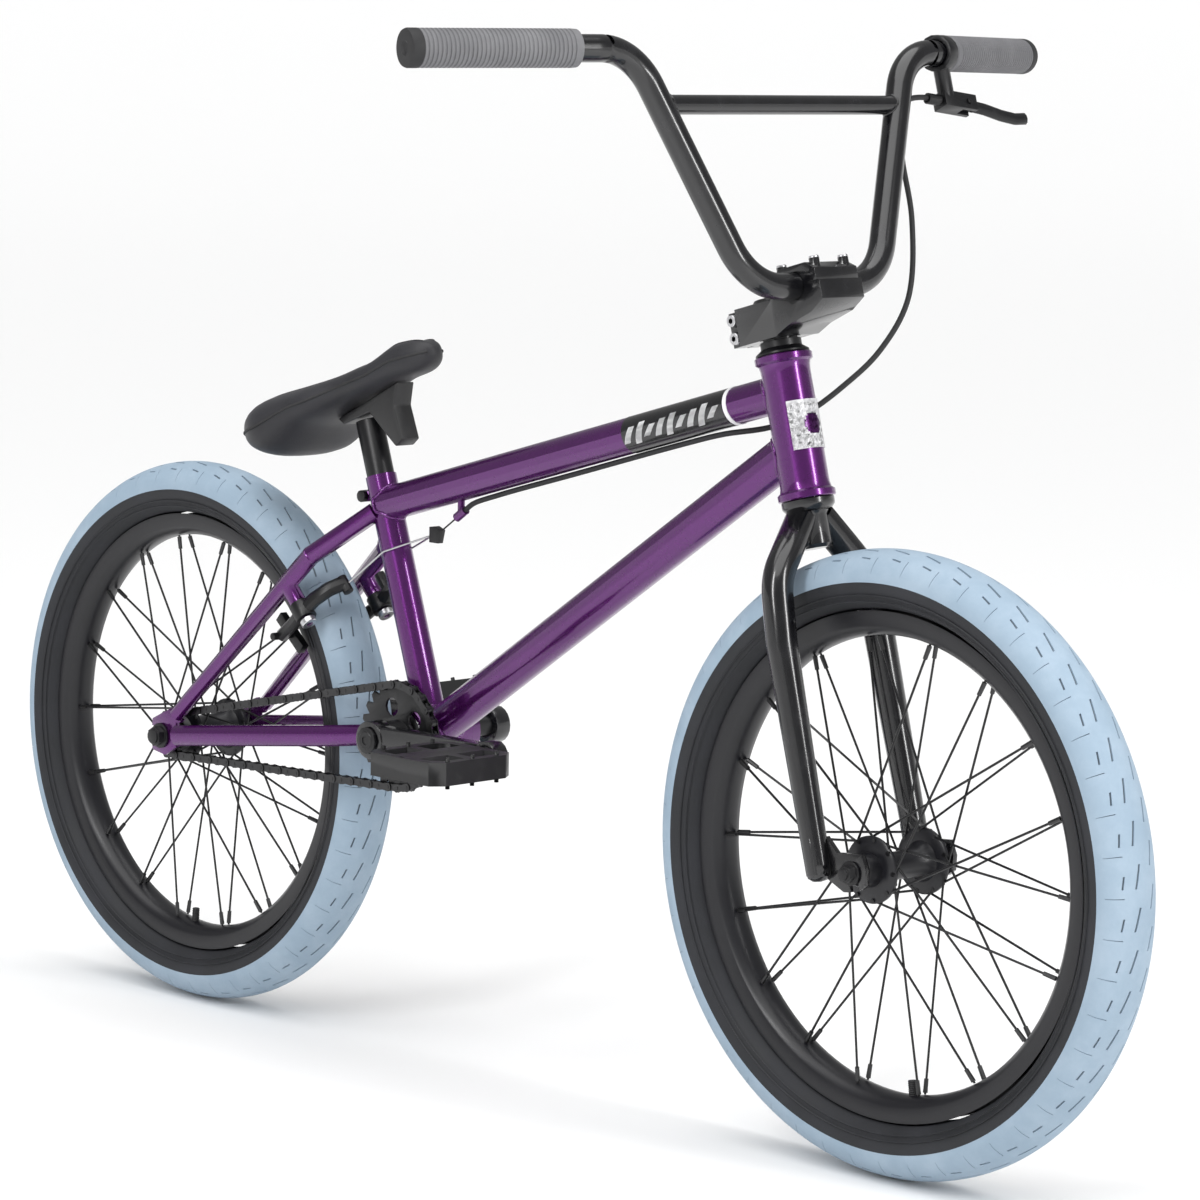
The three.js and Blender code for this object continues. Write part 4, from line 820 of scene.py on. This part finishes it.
CHAIN_PITCH = 12.7
CHAIN_LINE = -41.5
COG_TEETH, SPROCKET_TEETH = 9, 23


def pitch_radius(teeth):
    return CHAIN_PITCH / (2 * math.sin(math.pi / teeth))


def chain_places():
    """The chain's pins, in order round the cog and the sprocket."""
    rear, fore = pitch_radius(COG_TEETH), pitch_radius(SPROCKET_TEETH)
    gap = BRACKET - REAR
    run = math.atan2(gap.z, gap.x)
    reach = math.hypot(gap.x, gap.z)
    lean = math.asin((fore - rear) / reach)
    straight = math.sqrt(reach ** 2 - (fore - rear) ** 2)
    front_arc, rear_arc = fore * (math.pi + 2 * lean), rear * (math.pi - 2 * lean)
    total = 2 * straight + front_arc + rear_arc
    count = 2 * round(total / CHAIN_PITCH / 2)
    low, high = run - math.pi / 2 - lean, run + math.pi / 2 + lean

    def on_sprocket(angle):
        return gap.x + fore * math.cos(angle), gap.z + fore * math.sin(angle)

    def on_cog(angle):
        return rear * math.cos(angle), rear * math.sin(angle)

    places = []
    for k in range(count):
        s = total * k / count
        if s < front_arc:
            places.append(on_sprocket(low + s / fore))
        elif s < front_arc + straight:
            t = (s - front_arc) / straight
            places.append(tuple(Vector(on_sprocket(high)).lerp(Vector(on_cog(high)), t)))
        elif s < front_arc + straight + rear_arc:
            places.append(on_cog(high + (s - front_arc - straight) / rear))
        else:
            t = (s - front_arc - straight - rear_arc) / straight
            places.append(tuple(Vector(on_cog(low)).lerp(Vector(on_sprocket(low)), t)))
    return [Vector((REAR.x + x, CHAIN_LINE, REAR.z + z)) for x, z in places]


def add_side_plate(bm, first, last, y, thick):
    """Adds one waisted side plate of a link."""
    made = bmesh.new()
    verts = bmesh.ops.create_circle(made, cap_ends=True, segments=20, radius=4.1)["verts"]
    half = (last - first).length / 2
    for vert in verts:
        vert.co.x += math.copysign(half, vert.co.x) if abs(vert.co.x) > 0.05 else 0
        if abs(vert.co.x) < 0.1:
            vert.co.y *= 0.72
    grown = bmesh.ops.extrude_face_region(made, geom=made.faces[:])["geom"]
    bmesh.ops.translate(made, vec=(0, 0, thick), verts=corners_in(grown))
    bmesh.ops.recalc_face_normals(made, faces=made.faces)
    along = (last - first).normalized()
    turn = Matrix((along, ACROSS.cross(along), ACROSS)).transposed().to_4x4()
    centre = (first + last) / 2
    made.transform(Matrix.Translation((centre.x, centre.y + y, centre.z)) @ turn)
    merge_into(bm, made)


def chain():
    """Links turn about narrow and wide, each with its roller and its pin."""
    places = chain_places()
    made = bmesh.new()
    for k, first in enumerate(places):
        last = places[(k + 1) % len(places)]
        offsets = (2.3, -3.1) if k % 2 else (3.2, -4.0)
        for y in offsets:
            add_side_plate(made, first, last, y, 0.8)
        for half, radius, sides in ((2.2, 3.7, 12), (4.3, 1.7, 10)):
            add_rod(made, first - Vector((0, half, 0)), first + Vector((0, half, 0)), radius, sides=sides)
    finish_piece("chain_links", made, DARK_STEEL, "frame", ["chain"])


def make_cranks():
    chain()
    refined("driver_cog", DARK_STEEL, "driver", 0.3)
    refined("sprocket", SATIN, "crank", 0.4)
    refined("crank_spindle", SATIN, "crank", 0.6)
    for side, sign in SIDES.items():
        refined("crank_arm_" + side, GLOSS, "crank", 2.2)
        refined("pedal_axle_" + side, STEEL, "crank", 0.4)
        refined("pedal_" + side, PLASTIC, side + "_pedal", 1.0)
        bolt = bmesh.new()
        add_bolt(bolt, BRACKET + Vector((0, sign * 79.3, 0)), (0, sign, 0), 8.5, 2.6)
        finish_piece("spindle_bolt_" + side, bolt, SATIN, "crank")


# ---------------------------------------------------------------- fork, stem and bars


LEG_RADIUS, LEG_TAPER = 13.0, 2.5
LEG_STEPS = 24
CROSSBAR_RISE, BAR_RISE = 150.6, 196
BAR_HALF_BASE, GRIP_BEND = 75.5, 196
BAR_LEAN = 0.427
BAR_RADIUS, CROSSBAR_RADIUS = 11.1, 8
BAR_TILT = math.radians(1)


def fork_leg(side, sign):
    """A bent and tapered leg, ending in the dropout of the CAD leg."""
    shoulder = rounded([(0, sign * 10, -74), (0, sign * 52, -122), (0, sign * 58, -175)], [52], 12)
    parts = [k / LEG_STEPS for k in range(1, LEG_STEPS + 1)]
    shin = [Vector((0, sign * (58 + 2 * part), -175 - 188.4 * part)) for part in parts]
    route = [steer(*p) for p in shoulder + shin]
    radii = [LEG_RADIUS] * len(shoulder) + [LEG_RADIUS - LEG_TAPER * part for part in parts]
    made = bmesh.new()
    add_bent(made, route, radii, rings=12)
    tip = steer(0, sign * 60, -363.4)
    add_turned(made, [(0, -2), (6, -1), (9.5, 2), (10.4, 6), (0, 6)][::-1], tip - HEAD_UP * 4, HEAD_UP, 32)
    cad = from_cad("fork_leg_" + side)
    bmesh.ops.bisect_plane(cad, geom=cad.verts[:] + cad.edges[:] + cad.faces[:], plane_co=steer(0, 0, -334),
                           plane_no=HEAD_UP, clear_outer=True)
    bmesh.ops.holes_fill(cad, edges=[e for e in cad.edges if e.is_boundary])
    round_edges(cad, 0.6)
    merge_into(made, cad)
    finish_piece("fork_leg_" + side + "_finished", made, GLOSS, "steering",
                 ["fork_leg_" + side])


def fork_crown():
    """The steerer, the crown race, and the plate that ties the legs."""
    made = bmesh.new()
    profile = [(0, -101), (12, -101), (14.3, -98), (14.3, -74), (16, -71), (19, -69.6), (21.6, -66.5),
               (22, -65), (22, -61), (21.4, -60.4), (14.3, -60.4), (14.3, 98.5), (13.5, 99), (0, 99)]
    add_turned(made, profile, HEAD, HEAD_UP, 64)
    plate = bmesh.new()
    bmesh.ops.create_cube(plate, size=1)
    bmesh.ops.scale(plate, vec=(13, 50, 14), verts=plate.verts)
    bmesh.ops.translate(plate, vec=(0, 0, -91.5), verts=plate.verts)
    round_edges(plate, 2.5, 3)
    plate.transform(STEERING)
    merge_into(made, plate)
    finish_piece("fork_steerer_finished", made, GLOSS, "steering", ["fork_steerer"])


def bar_point(y, rise):
    """A point of the bar's upright plane, in the upright frame of the steering."""
    return Vector((48.4 - rise * math.sin(BAR_TILT), y, 108 + rise * math.cos(BAR_TILT)))


def grip_point(y):
    """A point of the bar's swept-back end, under the grip."""
    first = bar_point(GRIP_BEND, BAR_RISE)
    out = y - GRIP_BEND
    return Vector((first.x - 0.245 * out, y, first.z + 0.054 * out))


def handlebar():
    """The bar with its crossbar, and a bead of weld at each end of the crossbar."""
    corners = [bar_point(0, 0), bar_point(BAR_HALF_BASE, 0),
               bar_point(BAR_HALF_BASE + BAR_LEAN * BAR_RISE, BAR_RISE),
               bar_point(GRIP_BEND, BAR_RISE), grip_point(358)]
    left = rounded(corners, [55, 50, 40], 14)
    right = [Vector((p.x, -p.y, p.z)) for p in left[1:]][::-1]
    made = bmesh.new()
    add_bent(made, [STEERING @ p for p in right + left], BAR_RADIUS, rings=12)
    reach = BAR_HALF_BASE + BAR_LEAN * CROSSBAR_RISE
    ends = [STEERING @ bar_point(y, CROSSBAR_RISE) for y in (-reach, reach)]
    add_rod(made, *ends, CROSSBAR_RADIUS, sides=40)
    finish_piece("handlebar_finished", made, GLOSS, "steering", ["handlebar"])
    beads = bmesh.new()
    for sign in (1, -1):
        upright = Vector((-math.sin(BAR_TILT), sign * BAR_LEAN, math.cos(BAR_TILT))).normalized()
        places = ring_where(bar_point(0, CROSSBAR_RISE), Vector((0, sign, 0)), CROSSBAR_RADIUS,
                            bar_point(sign * reach, CROSSBAR_RISE), upright, BAR_RADIUS)
        add_bent(beads, [STEERING @ p for p in places], 1.3, closed=True, rings=3)
    finish_piece("bar_welds", beads, GLOSS, "steering")


def grip(side, sign):
    """A flangeless grip: fine rings along its length and a thicker end."""
    first, last = grip_point(216), grip_point(362)
    first.y, last.y = sign * first.y, sign * last.y
    length = (last - first).length
    ring_pitch, end_cap = 3.8, 10.2
    profile = [(0, 2), (11.8, 2), (11.8, 0), (14.2, 0), (15.1, 0.8), (15.3, 4)]
    h = 5.0
    while h < length - 12:
        profile += [(15.4, h), (15.4, h + 2.0), (14.5, h + 2.5), (14.5, h + 3.3)]
        h += ring_pitch
    profile += [(15.5, length - 10), (15.5, length - 2), (14.8, length - 0.4), (13, length), (6, length),
                (4, length - 1.5), (0, length - 1.5)]
    made = bmesh.new()
    axis = STEERING.to_3x3() @ (last - first)
    add_turned(made, profile, STEERING @ first, axis, 40)
    end = STEERING @ last
    for face in made.faces:
        if (face.calc_center_median() - end).dot(axis.normalized()) > -end_cap:
            face.material_index = 1
    finish_piece("grip_" + side + "_finished", made, [GRIP, PAD_RUBBER], "steering",
                 ["grip_" + side], 25)


def stem():
    """The stem with its bolts, the headset's cover under it and the cap over it."""
    refined("stem_body", GLOSS, "steering", 2.0)
    refined("stem_cap", GLOSS, "steering", 1.4)
    bolts = bmesh.new()
    for x in (31, 68):
        for y in (-17, 17):
            add_bolt(bolts, steer(x, y, 126.5), HEAD_UP, 4.2, 2.2)
    for z in (81, 96):
        add_bolt(bolts, steer(-33, -17, z), (0, -1, 0), 5, 3)
    finish_piece("stem_bolts", bolts, STEEL, "steering")
    cover = [(14.7, 60.4), (22, 60.4), (22.4, 61), (22.2, 62.4), (17.4, 66), (17.1, 66.4), (17.1, 71.6),
             (16.8, 72), (14.7, 72)]
    cap = [(0, 104.4), (16.6, 104.4), (17, 104.8), (17, 106), (16, 107.2), (8, 108), (7, 106.6), (0, 106.6)]
    for node, profile in (("headset_cover", cover), ("steerer_cap", cap)):
        made = bmesh.new()
        add_turned(made, profile, HEAD, HEAD_UP, 56)
        finish_piece(node + "_finished", made, SATIN, "steering", [node])


def make_steering():
    fork_crown()
    handlebar()
    stem()
    refined("front_axle", SATIN, "steering", 0.5)
    refined("lever_bracket", SATIN, "steering", 1.0)
    refined("brake_lever", SATIN, "lever", 0.8)
    for side, sign in SIDES.items():
        fork_leg(side, sign)
        grip(side, sign)


# ---------------------------------------------------------------- rear brake and cable


def brake_point(y, distance, proud):
    """A point at a distance up the seat stays from the rear axle, and proud of them."""
    c, s = math.cos(STAY_ANGLE), math.sin(STAY_ANGLE)
    return Vector((REAR.x + distance * c + proud * s, y, REAR.z + distance * s - proud * c))


def brake():
    """The brake arms with their bolts, and the hanger with the bare wire that it pulls."""
    forward = brake_point(0, 0, 1) - brake_point(0, 0, 0)
    for side, sign in SIDES.items():
        refined("brake_arm_" + side, SATIN, side + "_brake", 0.9)
        bolt = bmesh.new()
        add_bolt(bolt, brake_point(sign * 46.5, 240, 41.8), forward, 7.4, 5)
        finish_piece("brake_bolt_" + side, bolt, STEEL, "frame")
    refined("straddle_hanger", SATIN, "hanger", 0.5)
    wire = bmesh.new()
    tube_x = (BRACKET + SEAT_UP * 166).x
    for sign in (1, -1):
        knots = [brake_point(sign * 23, 286.5, 36), (tube_x, sign * 16.2, 456), (-126, sign * 1.5, 473)]
        add_bent(wire, rounded(knots, [12]), 0.9, rings=4)
    finish_piece("straddle_wires", wire, STEEL, "hanger", ["straddle_wire"])


def smooth_route(knots, count):
    """Evenly spaced points on a smooth curve through the knots."""
    between_knots = 24
    knots = [Vector(k) for k in knots]
    padded = [2 * knots[0] - knots[1], *knots, 2 * knots[-1] - knots[-2]]
    dense = []
    for p0, p1, p2, p3 in zip(padded, padded[1:], padded[2:], padded[3:]):
        t0 = 0.0
        t1 = t0 + (p1 - p0).length ** 0.5
        t2 = t1 + (p2 - p1).length ** 0.5
        t3 = t2 + (p3 - p2).length ** 0.5
        for k in range(between_knots):
            t = t1 + (t2 - t1) * k / between_knots
            a1 = p0.lerp(p1, (t - t0) / (t1 - t0))
            a2 = p1.lerp(p2, (t - t1) / (t2 - t1))
            a3 = p2.lerp(p3, (t - t2) / (t3 - t2))
            b1 = a1.lerp(a2, (t - t0) / (t2 - t0))
            b2 = a2.lerp(a3, (t - t1) / (t3 - t1))
            dense.append(b1.lerp(b2, (t - t1) / (t2 - t1)))
    dense.append(knots[-1])
    lengths = [0.0]
    for first, last in zip(dense, dense[1:]):
        lengths.append(lengths[-1] + (last - first).length)
    route, i = [], 0
    for k in range(count + 1):
        s = lengths[-1] * k / count
        while i < len(dense) - 2 and lengths[i + 1] < s:
            i += 1
        step = max(lengths[i + 1] - lengths[i], 1e-9)
        route.append(dense[i].lerp(dense[i + 1], (s - lengths[i]) / step))
    return route


def brake_cable():
    """The cable from the lever, round the head tube, to the stop under the top tube."""
    knots = [(285.3, 198.6, 870.3), (283.5, 184.8, 872.1), (283, 166, 868), (284, 158, 850), (293, 153, 820),
             (311, 147, 770), (324, 130, 705), (321, 100, 663), (313, 66, 635), (300, 36, 613), (276, 19, 600),
             (239.7, 0, 592.2), (196, 0, 581.3), (61, 0, 544.3), (-35.5, 0, 517.9), (-70.1, 0, 506.9),
             (-78.3, 0, 501.3), (-83.3, 0, 497.9)]
    route = smooth_route(knots, 140)
    made = bmesh.new()
    add_bent(made, route, 2.4, rings=5)
    cable = finish_piece("brake_cable_finished", made, PAD_RUBBER, None, ["brake_cable"])
    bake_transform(cable)
    length = sum((b - a).length for a, b in zip(route, route[1:])) * MM
    tuple(route[0] * MM)
    [tuple(p * MM) for p in route]


def make_brake():
    brake()
    brake_cable()


# ---------------------------------------------------------------- seat


def between(table, u):
    """A smooth value from [place, value] pairs."""
    if u <= table[0][0]:
        return table[0][1]
    for (u0, v0), (u1, v1) in zip(table, table[1:]):
        if u <= u1:
            t = (u - u0) / (u1 - u0)
            return v0 + (v1 - v0) * t * t * (3 - 2 * t)
    return table[-1][1]


SEAT_TAIL, SEAT_LENGTH = -137, 245
SEAM_STEPS = 60
HALF_WIDTH = [(-137, 58), (-90, 66), (-40, 52), (10, 33), (60, 25), (108, 22)]
CROWN = [(-137, 40), (-90, 47), (-20, 44), (30, 46), (75, 56), (108, 58)]
BELLY = [(-137, -4), (-90, -12), (-40, 8), (10, 18), (60, 22), (108, 17)]


def seat_matrix():
    """Carries the level seat to the top of its post, nose up."""
    top = BRACKET + SEAT_UP * (237.5 + 52)
    return Matrix.Translation(top) @ Matrix.Rotation(math.radians(-18), 4, "Y")


def seat_surface(s, side, rise):
    """A point of the seat's skin: s runs from the tail, -1, to the nose, 1."""
    swell = math.sqrt(max(1 - s ** 6, 0))
    u = SEAT_TAIL + (s + 1) / 2 * SEAT_LENGTH
    top, low = between(CROWN, u), between(BELLY, u)
    across = math.copysign(abs(side) ** 0.8, side)
    up = math.copysign(abs(rise) ** 0.8, rise)
    dip = 2.4 * math.exp(-((side * 3.2) ** 2)) * (1 if rise > 0 else 0) * swell
    z = (top + low) / 2 + swell * up * (top - low) / 2 - dip
    return Vector((u, swell * across * between(HALF_WIDTH, u), z))


def seam_along(reach, side, rise, lift):
    """A line along the seat's skin, from -reach to reach of its length."""
    line = []
    for k in range(SEAM_STEPS + 1):
        point = seat_surface(-reach + 2 * reach * k / SEAM_STEPS, side, rise)
        line.append(seat_matrix() @ (point + Vector((0, 0, lift))))
    return line


def seat_pad():
    """The firm padded top, its cover pulled tight and let in along the middle."""
    made = bmesh.new()
    bmesh.ops.create_uvsphere(made, u_segments=64, v_segments=40, radius=1,
                              matrix=Matrix.Rotation(math.pi / 2, 4, "Y"))
    for vert in made.verts:
        s = max(-1.0, min(1.0, vert.co.x))
        ring = math.hypot(vert.co.y, vert.co.z)
        side, rise = (vert.co.y / ring, vert.co.z / ring) if ring > 1e-5 else (0.0, 0.0)
        vert.co = seat_surface(s, side, rise)
    bmesh.ops.smooth_vert(made, verts=made.verts, factor=0.4, use_axis_x=True, use_axis_y=True,
                          use_axis_z=True)
    bmesh.ops.recalc_face_normals(made, faces=made.faces)
    made.transform(seat_matrix())
    pad = finish_piece("seat_pad_finished", made, COVER, "seat", ["seat_pad"], 80)
    seams = bmesh.new()
    for sign in (1, -1):
        add_bent(seams, seam_along(0.93, sign * 0.42, 0.9, 0.2), 0.55, rings=2)
        add_bent(seams, seam_along(0.97, sign * 1.0, 0.0, 0.0), 1.2, rings=3)
    finish_piece("seat_seams", seams, PAD_RUBBER, "seat")


def make_seat():
    seat_pad()
    refined("seat_base", PLASTIC, "seat", 1.6)
    refined("seat_post", SATIN, "seat", 0.6)


set_camera()
set_studio()
make_wheels()
make_frame()
make_cranks()
make_steering()
make_brake()
make_seat()
bpy.context.view_layer.update()
